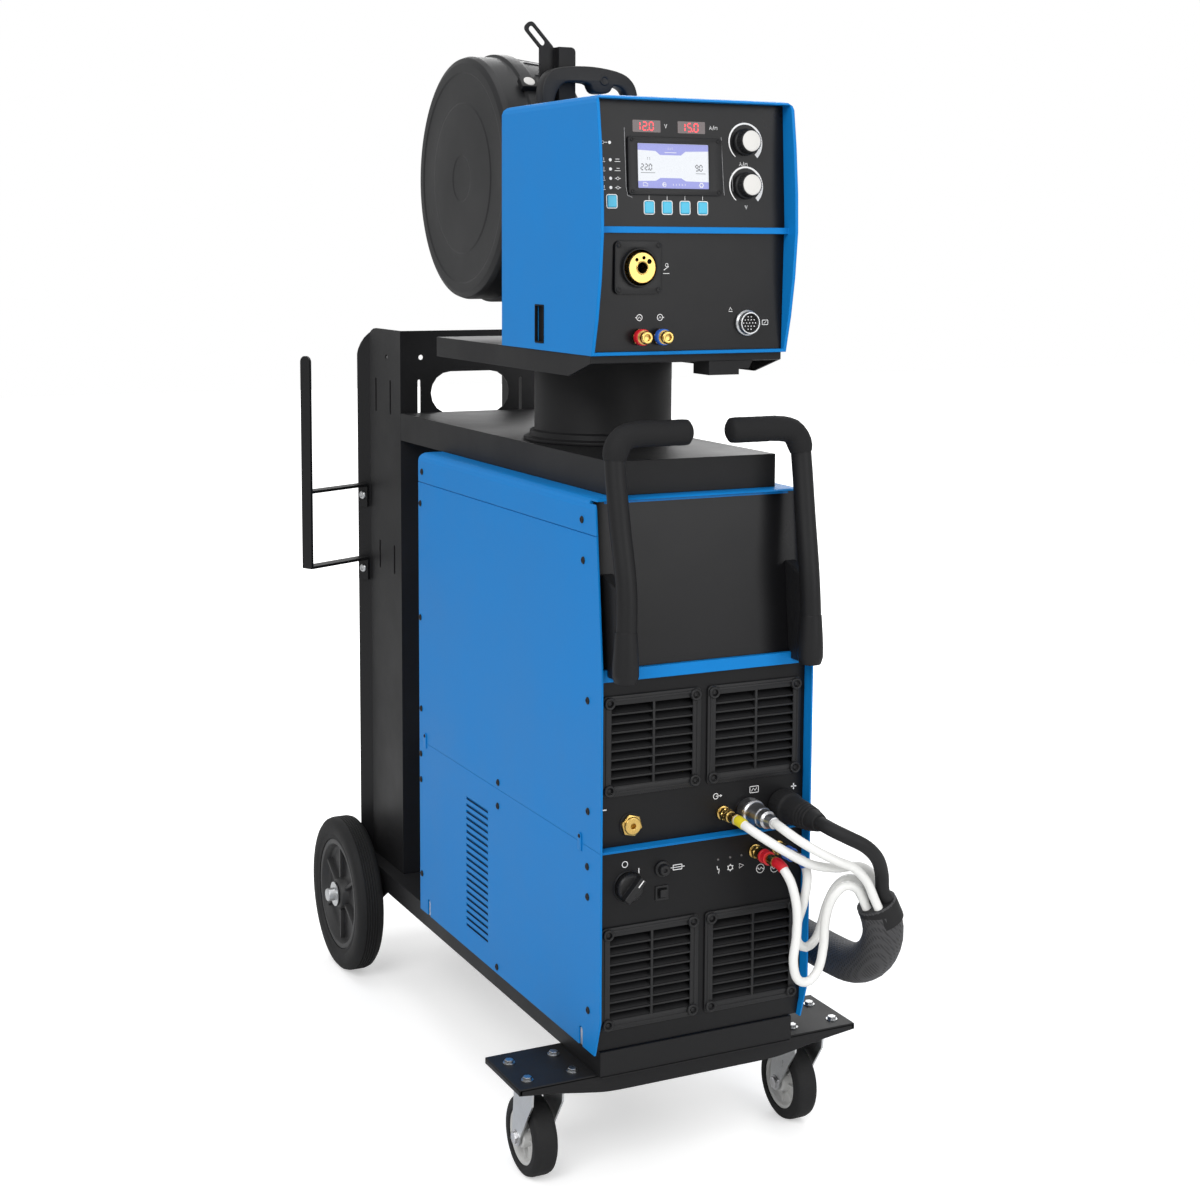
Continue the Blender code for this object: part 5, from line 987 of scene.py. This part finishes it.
def make_handles():
    for side, sign in (("left", -1), ("right", 1)):
        x, line = sign * HANDLE_X, handle_line(sign)
        work = Piece()
        work.sweep(line, HANDLE_R, 32)
        foot = smooth_path([(x, -22.5, FOOT_Z), (x, -22.8, 648), (x, -22.8, 660), (x, -23.2, 675),
                            (x, -23, FOOT_END_Z)], 2)
        shares = [(p.z - FOOT_Z) / (FOOT_END_Z - FOOT_Z) for p in foot]
        work.sweep(foot, [13.5 + 2.2 * min(1, t * 8) - 2.6 * max(0, (t - 0.35) / 0.65) for t in shares], 32)
        block = [(-25, FOOT_Z), (9.2, FOOT_Z), (9.2, STRIPE_TOP), (FACE, STRIPE_TOP + 4),
                 (FACE + lean_at(760), 760), (-14, 748), (-19, 690), (-25, 670)]
        work.plate([block], x - 8.5, x + 8.5, "X", 2.2)
        work.done("handle_tube_" + side, BLACK, "powder_black", node="handle_" + side, sharp=50)
        path = line[next(k for k, p in enumerate(line) if p.z > GRIP_START_Z):]
        path.append(path[-1] + Vector((-sign * 3.2, 0, 0)))
        radii = [HANDLE_R + 0.8, GRIP_R * 0.96] + [GRIP_R] * (len(path) - 4) + [GRIP_R * 0.97, GRIP_R * 0.72]
        for k in range(4, len(path) - 4, 2):
            radii[k] = GRIP_R * 0.988
        work = Piece()
        work.sweep(path, radii, 36)
        work.done("grip_cover_" + side, GRIP, "rubber", node="grip_" + side, sharp=50)


# ================================================================ wheels and casters
WHEEL_X, WHEEL_HALF, HUB_R = 163, 21, 86
CASTER_WHEEL_Y, CASTER_R, CASTER_HALF = 106, 50, 16


def make_rear_wheels():
    half = WHEEL_HALF
    for side, sign in (("left", -1), ("right", 1)):
        centre, axis, body = Vector((sign * WHEEL_X, AXLE_Y, WHEEL_R)), (sign, 0, 0), "rear_wheel_" + side
        shoulder = [(HUB_R + GAP, half * 0.84), (HUB_R + 4, half * 0.90), (HUB_R + 6, half * 0.87),
                    (HUB_R + 9, half * 0.93), (100, half * 0.985), (108, half), (114, half - 1.5),
                    (118.2, half - 5.2), (119.7, half - 10)]
        tread = [(r, w + d) for w in (8, 4, 0, -4, -8)
                 for r, d in ((WHEEL_R, 1.2), (118.4, 0.6), (118.4, -0.6), (WHEEL_R, -1.2))]
        work = Piece()
        work.lathe(shoulder + tread + [(r, -h) for r, h in reversed(shoulder)], centre, 144, axis,
                   closed=True)
        work.done("wheel_tyre_" + side, TYRE, "tyre", body, "rear_tyre_" + side, 45)
        rim = [(10.3, 19), (19.5, 19), (22.5, 16.5), (25, 5.5), (70, 4), (74, 6), (78.5, half * 0.80),
               (HUB_R, half * 0.80)]
        work = Piece()
        work.lathe(both_ways(rim), centre, 96, axis, closed=True, soft=1.2, soft_steps=3)
        for way in (7.8, -7.8):
            work.studs(around(6), centre + Vector((sign * way, 0, 0)), 49.5, (5, 2.4, 23.5), None, "X", 1, 2)
        work.done("wheel_hub_" + side, HUB, "hub_plastic", body, "rear_hub_" + side, 40)
    tip, shoulder, inside = WHEEL_X + half + 14, WHEEL_X - half - 1, 134.5
    rod = [(0, tip - 0.5), (8.5, tip - 0.5), (10, tip - 2), (10, shoulder), (17, shoulder), (17, inside),
           (10, inside)]
    work = Piece()
    work.lathe(both_ways(rod), (0, AXLE_Y, WHEEL_R), 48, RIGHT, soft=0.3, soft_steps=1)
    for sign in (-1, 1):
        work.lathe([(10.1, 0), (19, 0), (19, 1.8), (10.1, 1.8)], (sign * (WHEEL_X + 20.5), AXLE_Y, WHEEL_R),
                   40,
                   (sign, 0, 0), closed=True)
    work.done("axle_bar", ZINC, "zinc", node="rear_axle", sharp=40)


def make_casters():
    half, y, z = CASTER_HALF, CASTER_WHEEL_Y, CASTER_R
    for side, sign in (("left", -1), ("right", 1)):
        fork, body, x = "caster_fork_" + side, "caster_wheel_" + side, sign * CASTER_X
        show(fork, ZINC)
        tyre = [(35.5, half - 1), (38, half - 0.2), (44, half - 0.2), (48.5, half - 3),
                (CASTER_R, half - 7.5)]
        work = Piece()
        work.lathe(both_ways(tyre), (x, y, z), 96, RIGHT, closed=True, soft=1.2, soft_steps=3)
        work.done("caster_tyre_" + side, TYRE, "tyre", body, body, 45)
        rim = [(5.3, half + 0.8), (12, half + 0.8), (13.5, half - 0.6), (15, 6.2), (29, 5.8),
               (31.2, half - 4),
               (35.4, half - 2.2)]
        work = Piece()
        work.lathe(both_ways(rim), (x, y, z), 72, RIGHT, closed=True, soft=0.8, soft_steps=3)
        for way in (7, -7):
            work.studs(around(8), (x + way, y, z), 22, (2.8, 0.9, 7.5), None, "X", 0.4)
        work.done("caster_rim_" + side, CASTER_HUB, "zinc", body, sharp=40)
        work = Piece()
        for way in (-1, 1):
            work.lathe([(0, 0), (9.5, 0), (9.5, 0.8), (0, 0.8)], (x + way * 21.5, y, z), 32, (way, 0, 0))
            work.nut((x + way * 22.2, y, z), 7.8, 3.4, (way, 0, 0))
        work.nut((x, PIVOT_Y, 126.2), 9.2, 4.2, DOWN)
        work.done("caster_nuts_" + side, STEEL, "zinc", fork)
        work = Piece()
        work.lathe([(19.6, 139.5), (26.2, 138.5), (28.5, 134.5), (27.5, 131.2), (25.5, 130), (19.6, 130)],
                   (x, PIVOT_Y, 0), 56, UP, closed=True, soft=0.8, soft_steps=3)
        work.done("caster_race_" + side, ZINC, "zinc", fork)
    work = Piece()
    for x in (30 - CASTER_X, -30 - CASTER_X, CASTER_X - 30, CASTER_X + 30):
        for y in (PIVOT_Y - 26, PIVOT_Y + 29):
            work.lathe([(0, 0), (7.4, 0), (7.4, 1), (0, 1)], (x, y, PLATE_TOP), 28, UP)
            work.nut((x, y, PLATE_TOP + 1), 5.8, 3.4, UP)
            work.nut((x, y, PLATE_TOP - 7.2), 6.4, 4, DOWN)
    work.done("plate_bolts", ZINC, "zinc")


# ================================================================ mast and post
def make_post():
    low, top, bore, r = SHELF_TOP + GAP, DECK_TOP - 4, 31, POST_R
    work = Piece()
    work.lathe([(bore, top), (r - 1, top), (r, top - 1.2), (r, low + 14), (r + 6, low + 12),
                (r + 6, low + 6),
                (r + 14, low + 4), (r + 14, low), (r - 3, low), (r - 3, top - 4), (bore, top - 4)],
               (0, POST_Y, 0), 128, UP, closed=True, soft=0.7)
    work.done("post_tube", BLACK, "powder_black", node="swivel_post", sharp=40)
    inner, outer = SLEEVE_R + 0.8, SLEEVE_R + 6
    work = Piece()
    work.lathe([(inner, 25.5), (SLEEVE_R + 4, 25.5), (outer, 22.5), (outer, 0), (inner, 0)],
               Vector((0, POST_Y, ENTRY_Z)) + ENTRY_DIR * (r - 8), 56, ENTRY_DIR, closed=True, soft=1,
               soft_steps=3)
    work.done("post_inlet", RUBBER, "rubber")


def make_mast_bolts():
    c, s = math.cos(math.radians(26)), math.sin(math.radians(26))
    out = Vector((-c, -s, 0))
    work = Piece()
    for z in (634, 750):
        work.screw(Vector((-113, 886, z)) + Vector((-s, c, 0)) * 14 + out * 4.3, out, 6.5, 3)
    work.done("hanger_bolts", ZINC, "zinc")


# ================================================================ feeder
FEED_HALF, FEED_TOP, FEED_BACK = 133, 1316, 321
FEED_STRIPE_Z, FEED_STRIPE_H = 1157.5, 7.5
FEED_FACE_Y, FEED_LEAN = 58, math.radians(3.5)
SCREEN = (-72.2, 1209.8, 23.2, 1262.2)
BUTTONS = [(-106, 1194)] + [(-57 + 24 * k, 1187.5) for k in range(4)]
KNOB_X, KNOBS = 75, (("wire_speed_knob", 1267), ("voltage_knob", 1215))
DIAL_START, DIAL_TURN, DIAL_R, DIAL_STEPS = 232, -280, 22.2, 60


def face_y(z):
    return FEED_FACE_Y + (z - FEED_STRIPE_Z - FEED_STRIPE_H) * math.tan(FEED_LEAN)


def low_face_y(z):
    low = DECK_TOP + GAP + 4
    return 62 - 3 * (z - low) / (FEED_STRIPE_Z - low)


def leaned(work, z):
    """Turns a piece made square to -Y so that it stands square to the leaning face."""
    work.spin((0, face_y(z), z), -FEED_LEAN, "X")
    return work


def make_screen():
    z = 1236
    y = face_y(z)
    work = Piece()
    work.plate([round_rect(-85, 1202, 41, 1270, 3.5), round_rect(*SCREEN, 1, 3)], y - 3.4, y - 0.2,
               bevel=0.7)
    for x, v in ((-80, 1206), (36, 1206), (-80, 1266), (36, 1266)):
        work.lathe([(0, 0.4), (1.2, 0.4), (1.4, 1.2), (2.2, 1), (2.5, 0)], (x, y - 3.4, v), 20)
    leaned(work, z).done("screen_bezel", MOULD, body="feeder", node="display")

    page, bars, text, icons = [Marks(face_y, ahead) for ahead in (1.2, 1.3, 1.4, 1.5)]
    page.fill(rectangle(*SCREEN))
    page.done("screen_page", LCD, "feeder")
    bars.fill([(-72, 1262), (-72, 1254.5), (-48, 1253.5), (-42, 1249), (-14, 1249), (-8, 1253.5),
               (23, 1254.5),
               (23, 1262)])
    bars.fill([(-72, 1210), (23, 1210), (23, 1218.2), (-8, 1218.8), (-14, 1222.2), (-42, 1222.2),
               (-48, 1218.8),
               (-72, 1218.2)])
    bars.done("screen_bars", LILAC, "feeder")
    text.digits("22.0", -67.6, 1231.2, 6.8, 3.4, 1.1, 2)
    text.digits("9.0", 5.6, 1231.2, 6.8, 3.4, 1.1, 2)
    text.digits("11", -60, 1243, 3.6, 1.4, 0.6, 1.4)
    text.lines(0.5, (-68, 1228, -49, 1228), (5.5, 1228, 19, 1228))
    text.done("screen_figures", TEXT, "feeder")
    icons.digits("111", -32, 1255, 3, 1, 0.5, 1.6)
    icons.ribbon([(-65, 1212.5), (-65, 1216.5), (-61.5, 1216.5), (-59, 1214.5), (-59, 1212.5)], 0.7, True)
    icons.ring(-37, 1214.5, 2.4, 0.6)
    icons.ribbon([(-38.5, 1216), (-37, 1214.5), (-38.5, 1213)], 0.6)
    icons.lines(0.6, (-36, 1252, -20, 1252), (-39.4, 1214.5, -34.6, 1214.5),
                *[(x, 1213.5, x, 1215.5) for x in (-25, -21, -17, -13, -9)])
    icons.ring(13, 1214.5, 2.2, 1)
    icons.rays(13, 1214.5, 2.2, 3.4, 0.9)
    icons.done("screen_icons", INK, "feeder")
    windows, numbers = Marks(face_y), Marks(face_y, 0.2)
    for x, number in ((-77, "12.0"), (-17, "15.0")):
        windows.fill(round_rect(x, 1275.2, x + 37, 1289.2, 1, 3))
        numbers.digits(number, x + 4.5, 1277.5, 9.4, 5.2, 1.3, 3.6)
    windows.done("number_windows", SMOKE, "feeder")
    numbers.done("number_digits", DIGIT, "feeder")


def make_feeder_marks():
    marks = Marks(face_y)
    marks.ribbon([(-34.5, 1285), (-33, 1280.5), (-31.5, 1285)], 0.7)
    marks.ribbon([(26, 1280.5), (27.5, 1285), (29, 1280.5)], 0.6)
    marks.ribbon([(33.5, 1280.5), (33.5, 1283.8), (34.6, 1283.8), (35, 1282.2), (35.4, 1283.8),
                  (36.6, 1283.8),
                  (36.6, 1280.5)], 0.5)
    marks.ribbon([(66.5, 1238.5), (68, 1243), (69.5, 1238.5)], 0.6)
    marks.ribbon([(74.2, 1238.5), (74.2, 1241.8), (75.3, 1241.8), (75.7, 1240.2), (76.1, 1241.8),
                  (77.3, 1241.8),
                  (77.3, 1238.5)], 0.5)
    marks.lines(0.5, (26.6, 1282.2, 28.4, 1282.2), (67.1, 1240.2, 68.9, 1240.2))
    marks.lines(0.6, (30.5, 1280, 32.2, 1285.5), (71.2, 1238.2, 72.8, 1243.4), (-115, 1262, -110.5, 1262))
    marks.ribbon([(73.5, 1191.5), (75, 1187), (76.5, 1191.5)], 0.7)
    marks.fill(circle(-107.5, 1262, 1.9, 28))
    marks.ring(-116.5, 1262, 1.6, 0.5)
    for k in range(4):
        z = 1242 - 10.7 * k
        marks.fill(circle(-107, z, 1.9, 28))
        marks.lines(0.6, (-115.5, z + 2.4, -115.5, z - 1.2), (-117.2, z - 2.4, -113.8, z - 2.4))
        if k < 2:
            marks.lines(0.6, (-101.5, z - 1.8, -94, z - 1.8), (-100.5 + 1.5 * k, z + 1, -95, z + 1))
        else:
            marks.lines(0.6, (-101.5, z, -99.5, z), (-95.8, z, -93.8, z))
            marks.ring(-97.7, z, 1.6, 0.5)
    for k, (x, z) in enumerate(BUTTONS):
        marks.box(x - 6.8, z - 7.8, x + 6.8, z + 7.8, 1, 2.2)
        if k:
            marks.lines(0.6, (x, z + 9, x, z + 14))
    for name, z in KNOBS:
        rims = []
        for t in (k / DIAL_STEPS for k in range(DIAL_STEPS + 1)):
            a = math.radians(DIAL_START + DIAL_TURN * t)
            thick = 1 + 4.4 * max(0.0, (t - 0.55) / 0.45) ** 1.2 + 1.2 * math.sin(math.pi * min(1, t / 0.8))
            rims.append([(KNOB_X + r * math.cos(a), z + r * math.sin(a))
                         for r in (DIAL_R + thick / 2, DIAL_R - thick / 2)])
        for a, b in zip(rims, rims[1:]):
            marks.fill((a[0], b[0], b[1], a[1]))
    marks.done("feeder_marks", INK, "feeder")
    lines = Marks(face_y)
    lines.ribbon([(-88, 1280), (-87, 1210), (-85, 1201), (-79, 1199)], 0.6)
    lines.ribbon([(42, 1272), (44, 1215), (45, 1203)], 0.6)
    lines.ribbon([(56, 1230), (57, 1208)], 0.6)
    lines.done("feeder_lines", INK_GREY, "feeder")


def make_feeder_face():
    show("feeder_front", FILM)
    make_screen()
    make_feeder_marks()
    for k, (x, z) in enumerate(BUTTONS, 1):
        name, y = "button_%d" % k, face_y(z)
        work = Piece()
        work.box((x - 6, y - 1.6, z - 7), (x + 6, y + 3.8, z + 7), 1.4, 4)
        leaned(work, z).done("key_cap_%d" % k, KEY, "key", name, name)
    for name, z in KNOBS:
        y = face_y(z) - 0.5
        work = Piece()
        work.lathe([(12.4, 15.5), (13.6, 15), (14.2, 4.6), (16, 3), (16.3, 0), (0, 0)], (KNOB_X, y, z), 72,
                   soft=0.6, soft_steps=3)
        work.studs(around(28), (KNOB_X, y - 9.8, z), 13.9, (0.5, 4.6, 0.3), (-0.5, -4.6, -0.4))
        leaned(work, z).done(name + "_skirt", MOULD, body=name, node=name)
        work = Piece()
        work.lathe([(0, 16.3), (11.2, 16.3), (12.4, 15.7), (12.5, 15), (0, 15)], (KNOB_X, y, z), 64,
                   soft=0.4)
        leaned(work, z).done(name + "_cap", PALE, body=name)


def make_torch_socket():
    x, y, z = -72, 59 - GAP, 1117
    bore, tube = 6.6, 8
    work = Piece()
    work.plate([round_rect(-103.3, 1085.7, -40.7, 1148.3, 6.5, 6), circle(x, z, 22.6, 48)], y - 2.9, y,
               bevel=0.6)
    work.lathe([(22.6, 0), (22.6, 5), (21.2, 5.2), (21.2, 0)], (x, y - 2.4, z), 64, soft=0.4)
    for dx in (-26.2, 26.2):
        for dz in (-26.2, 26.2):
            work.screw((x + dx, y - 2.9, z + dz), radius=3, height=1.4)
    work.done("torch_flange", MOULD, body="feeder", sharp=40)
    work = Piece()
    work.lathe([(20.2, -2), (20.2, 2), (18.4, 4), (18.4, 12), (17.6, 13.2)], (x, y, z), 64, soft=0.5)
    pins = [(math.radians(a), r) for a, r in ((38, 3), (80, 2.2), (128, 2.2))]
    holes = [circle(x + 11.8 * math.cos(a), z + 11.8 * math.sin(a), r, 16) for a, r in pins]
    work.plate([circle(x, z, 17.8, 48), circle(x, z, bore + 0.2, 48), *holes], y - 12.2, y - 9.2)
    work.lathe([(bore, -2), (tube, -2), (tube, 12.6), (tube - 0.5, 13.2), (bore + 0.4, 13.2), (bore, 12.8)],
               (x, y, z), closed=True, soft=0.2, soft_steps=1)
    work.done("torch_socket", BRASS, "brass", "feeder", "euro_socket", 40)
    # Painted shade: a dark ring and disc deep in the torch socket.
    work = Piece()
    work.lathe([(tube, 8.4), (18, 8.4), (18, -2), (tube, -2)], (x, y, z), closed=True)
    work.lathe([(0, -6.8), (22, -6.8), (22, -6), (0, -6)], (x, y, z))
    work.done("torch_socket_shade", PAINTED_SHADE, body="feeder")


def make_feeder_sockets():
    make_torch_socket()
    z = 1035
    face = low_face_y(z) - GAP
    for name, x, colour in (("water_socket_red", -68, RED), ("water_socket_blue", -40, BAND_BLUE)):
        work = Piece()
        work.lathe([(0, 18.5), (3.8, 18.5), (4, 22.2), (6.6, 22.2), (7.8, 20.5), (7.8, 16.5), (6.4, 15.5),
                    (6.4, 13.5), (8.5, 13), (8.5, 12.5)], (x, face, z), soft=0.4)
        work.nut((x, face, z), 10, 4.2)
        work.done(name + "_nipple", BRASS, "brass", "feeder", name, 40)
        work = Piece()
        work.lathe([(0, 4), (9.5, 4), (9.8, 4.8), (9.8, 11.8), (9.2, 12.8), (0, 12.8)], (x, face, z),
                   soft=0.5)
        work.done(name + "_ring", colour, "brass", "feeder")

    x, z = 79, 1050
    face = low_face_y(z) - GAP
    work = Piece()
    work.lathe([(11.6, 4), (11.6, 10), (13.2, 10), (13.6, 9), (13.6, 3.2), (15.8, 2.2), (16, 0)],
               (x, face, z), 56,
               soft=0.5)
    work.done("remote_shell", ZINC, "zinc", "feeder", "remote_socket")
    work = Piece()
    work.lathe([(0, 5), (11.7, 5), (11.7, 0)], (x, face, z))
    work.done("remote_core", RUBBER, body="feeder")
    work = Piece()
    for row, count in enumerate((2, 4, 5, 4, 2)):
        for k in range(count):
            at = (x + (k - (count - 1) / 2) * 4.2, face - 5, z + (2 - row) * 3.8)
            work.lathe([(0, 2.6), (0.8, 2.4), (1, 0)], at, 10)
    work.done("remote_pins", STEEL, "brass", "feeder")

    marks = Marks(low_face_y)
    for x in (-68, -40.5):
        marks.ring(x, 1058, 3.6, 0.8)
        marks.ribbon([(x - 1.8, 1056.8), (x, 1059), (x + 1.8, 1056.8)], 0.6)
    marks.lines(1, (-73.5, 1058, -71.6, 1058), (-37, 1058, -35, 1058))
    marks.lines(0.8, (-36.5, 1114, -30, 1118.5))
    marks.lines(0.7, (-37.5, 1110, -29, 1110))
    marks.lines(0.6, (53.5, 1064, 59, 1064), (103.5, 1049, 106.5, 1051.5))
    marks.ring(-32.8, 1120, 1.8, 0.6)
    marks.ribbon([(54, 1065.5), (56, 1069), (58, 1065.5)], 0.7)
    marks.box(101, 1047.5, 109, 1053, 0.7, 0.5)
    marks.done("socket_marks", INK, "feeder")


def make_feeder_roof():
    """The moulded carry handle, thick under its middle, with the lifting eye's plate behind it."""
    left, right, y, low = -92.5, 35.5, 287, FEED_TOP + GAP
    top = smooth_path([
        (left - 3, low), (left - 4, low + 22), (left + 3, 1356), (left + 20, 1365.5),
        ((left + right) / 2, 1368.5),
        (right - 22, 1362.5), (right - 3, 1350), (right + 4, low + 14), (right + 4, low),
    ], 4)
    under = smooth_path([
        (right - 11, low), (right - 11.5, low + 12), (right - 17, low + 24), (right - 30, low + 29),
        (right - 36, low + 22), (right - 42, low + 19), (right - 56, low + 19), (right - 62, low + 23),
        (right - 68, low + 31), (left + 30, low + 31), (left + 19, low + 22), (left + 14, low + 10),
        (left + 13.5, low),
    ], 4)
    work = Piece()
    work.plate([top + under], y - 10.5, y + 10.5, bevel=2.2)
    for x0 in (left - 5, right - 15):
        work.box((x0, y - 11.8, low), (x0 + 21, y + 11.8, low + 4.6), 1.2)
        for x in (x0 + 3, x0 + 18):
            work.screw((x, y - 8.5, low + 4.4), UP, 2.4, 1)
    work.lathe([(0, 0.6), (3.2, 0.6), (4, 1.6), (6.2, 1.8), (7, 0)], (-9.6, y - 10, 1352), 32, soft=0.3)
    work.done("roof_handle", MOULD, body="feeder", node="carry_handle", sharp=45)
    show("lifting_eye", BLACK)
    work = Piece()
    for x, y in ((-72.5, 307.8), (-48, 312.2)):
        work.nut((x, y, low + 4), 4.6, 3, UP)
    work.done("eye_bolts", ZINC, "zinc", "feeder")


def make_feeder_side():
    # Painted shade: the side window's rim and a sheet set deep inside it are near-black, standing in for the
    # shade in and behind the window.
    work = Piece()
    work.plate([round_rect(190.5, 1022.2, 217.5, 1069.8, 1.6, 4),
                round_rect(192.5, 1024.2, 215.5, 1067.8, 1, 4)],
               -FEED_HALF - 0.6, -FEED_HALF + 3, "X", 0.2)
    work.plate([rectangle(191.8, 1023.5, 216.2, 1068.5)], -FEED_HALF + 4.6, -FEED_HALF + 5.8, "X")
    work.done("side_window_shade", PAINTED_SHADE, body="feeder")


# ================================================================ spool drum
DRUM_Y, DRUM_Z, DRUM_R, DRUM_WALL = 491, 1231, 163, 3
DRUM_AT = Vector((0, DRUM_Y, DRUM_Z))
RIM_X, LIP, COVER_X, DRUM_BACK = -77, 16, -120, 5
LIP_X = RIM_X + LIP
LIP_IN = DRUM_R + 1
LIP_OUT = LIP_IN + DRUM_WALL
HINGE_Y = DRUM_Y + DRUM_R + DRUM_WALL + 6
SPOOL_R, CORE_R, WINDINGS = 25.5, 30, 62


def hinge_barrel(work, z0, z1):
    work.lathe([(0, z0), (5, z0), (5, z1), (0, z1)], (LIP_X, HINGE_Y, 0), 28, UP, soft=0.6)


def make_cover():
    r, face = DRUM_R, COVER_X
    work = Piece()
    work.lathe([
        (0, face + 1.2), (30, face + 1.2), (32, face + 0.4), (100, face + 0.2), (102, face + 1.2),
        (140, face + 1.2), (142, face), (153.5, face), (160.5, face + 3), (r, face + 10), (r, RIM_X - 3.5),
        (LIP_OUT, RIM_X - 1), (LIP_OUT, LIP_X), (LIP_IN, LIP_X), (LIP_IN, RIM_X), (r - DRUM_WALL, RIM_X - 1),
        (r - DRUM_WALL, face + 10), (r - 12, face + DRUM_WALL), (0, face + DRUM_WALL),
    ], DRUM_AT, 160, RIGHT, soft=0.9, soft_steps=3)
    for z0, z1 in ((DRUM_Z - 30, DRUM_Z - 11), (DRUM_Z + 11, DRUM_Z + 30)):
        hinge_barrel(work, z0, z1)
        work.box((LIP_X - 11.8, DRUM_Y + LIP_IN + 1, z0), (LIP_X - 0.6, HINGE_Y + 2.8, z1), 0.8)
    work.done("drum_cover", DRUM, "grey_plastic", "spool_cover", "spool_cover", 40)
    angle = math.radians(45)
    way = Vector((0, -math.cos(angle), math.sin(angle)))
    middle = DRUM_AT + way * (LIP_OUT + 4) + Vector((RIM_X + 3, 0, 0))
    work = Piece()
    work.box(middle - Vector((12.5, 9.5, 5.5)), middle + Vector((12.5, 9.5, 3.5)), 1.6, 3,
             Matrix.Rotation(math.pi / 2 - angle, 4, "X"))
    work.done("cover_latch", MOULD, "grey_plastic", "spool_cover")
    work = Piece()
    work.lathe([(0, 10.5), (7.2, 10.5), (8.8, 8.5), (8.8, 3), (6, 2.2), (6, 0)], middle - way * 6, 40, way,
               soft=0.8, soft_steps=3)
    work.done("latch_knob", PALE, "grey_plastic", "spool_cover")


def make_drum():
    r, wall, back = DRUM_R, DRUM_WALL, DRUM_BACK
    small, inside, hub_x = r - 6, back - wall, COVER_X + 8
    work = Piece()
    work.lathe([
        (0, back), (small - 9, back), (small - 2, back - 4), (small, back - 11), (r - 0.6, LIP_X + 6),
        (r, LIP_X + 3), (r, RIM_X + GAP), (r - wall, RIM_X + GAP), (r - wall, LIP_X + 4),
        (small - wall, inside - 8), (small - wall - 6, inside), (24.5, inside), (24.5, hub_x + 2),
        (22.5, hub_x), (0, hub_x),
    ], DRUM_AT, 160, RIGHT, soft=1, soft_steps=3)
    near, far = LIP_X + 10, back - 12
    rib = [(near, r - 3), (far, small - 2), (far, small + 0.6), (far - 2, small + 1.4), (near + 2, r + 0.2),
           (near, r - 0.6)]
    for k in range(24):
        turn = Matrix.Translation(DRUM_AT) @ Matrix.Rotation(math.radians(15 * k + 4), 4, "X")
        bmesh.ops.transform(work.work, matrix=turn, verts=work.plate([rib], -1.1, 1.1))
    hinge_barrel(work, DRUM_Z - 9.8, DRUM_Z + 9.8)
    work.box((LIP_X + 1, DRUM_Y + r - 3, DRUM_Z - 9.8), (LIP_X + 16, HINGE_Y + 2, DRUM_Z + 9.8), 0.8)
    front, foot, foot_end = FEED_BACK + GAP, DECK_TOP + GAP, 537
    wing = [(front, foot), (foot_end, foot), (DRUM_Y + 110, DRUM_Z - 60), (DRUM_Y + 110, DRUM_Z + 50),
            (DRUM_Y + 50, DRUM_Z + 100), (DRUM_Y - 40, DRUM_Z + 100), (front, DRUM_Z + 60)]
    work.plate([wing], back - 1, back + 4, "X", 0.8)
    work.box((back - 1, front, foot), (back + 40, foot_end, DECK_TOP + 4), 0.8)
    work.done("drum_shell", DRUM, "grey_plastic", "feeder", "spool_drum", 40)

    left, right = COVER_X + 12, inside - 6
    work = Piece()
    for x, edge in ((left, 150), (right - 3, 146)):
        work.lathe([(SPOOL_R, x), (edge, x), (edge, x + 3), (SPOOL_R, x + 3)], DRUM_AT, 120, RIGHT,
                   closed=True,
                   soft=0.6)
    work.lathe([(SPOOL_R, left + 2), (CORE_R, left + 2), (CORE_R, right - 2), (SPOOL_R, right - 2)], DRUM_AT,
               64,
               RIGHT, closed=True)
    work.done("spool_flanges", MOULD, body="wire_spool", node="wire_spool", sharp=40)
    start, end = left + 3, right - 3
    pitch = (end - start) / WINDINGS
    coils = [(r, start + pitch * (k + share)) for k in range(WINDINGS)
             for r, share in ((131.4, 0.02), (132.2, 0.5))]
    work = Piece()
    work.lathe([(CORE_R, start), *coils, (131.4, end), (CORE_R, end)], DRUM_AT, 96, RIGHT, closed=True)
    work.done("spool_wire", COPPER, "wire", "wire_spool", sharp=60)


make_camera()
make_stage()
make_light()
make_bundle()
make_cart_fronts()
make_front_plate()
make_side_fittings()
make_cooler_front()
make_power_fronts()
make_handles()
make_rear_wheels()
make_casters()
make_post()
make_mast_bolts()
make_feeder_face()
make_feeder_sockets()
make_feeder_roof()
make_feeder_side()
make_cover()
make_drum()
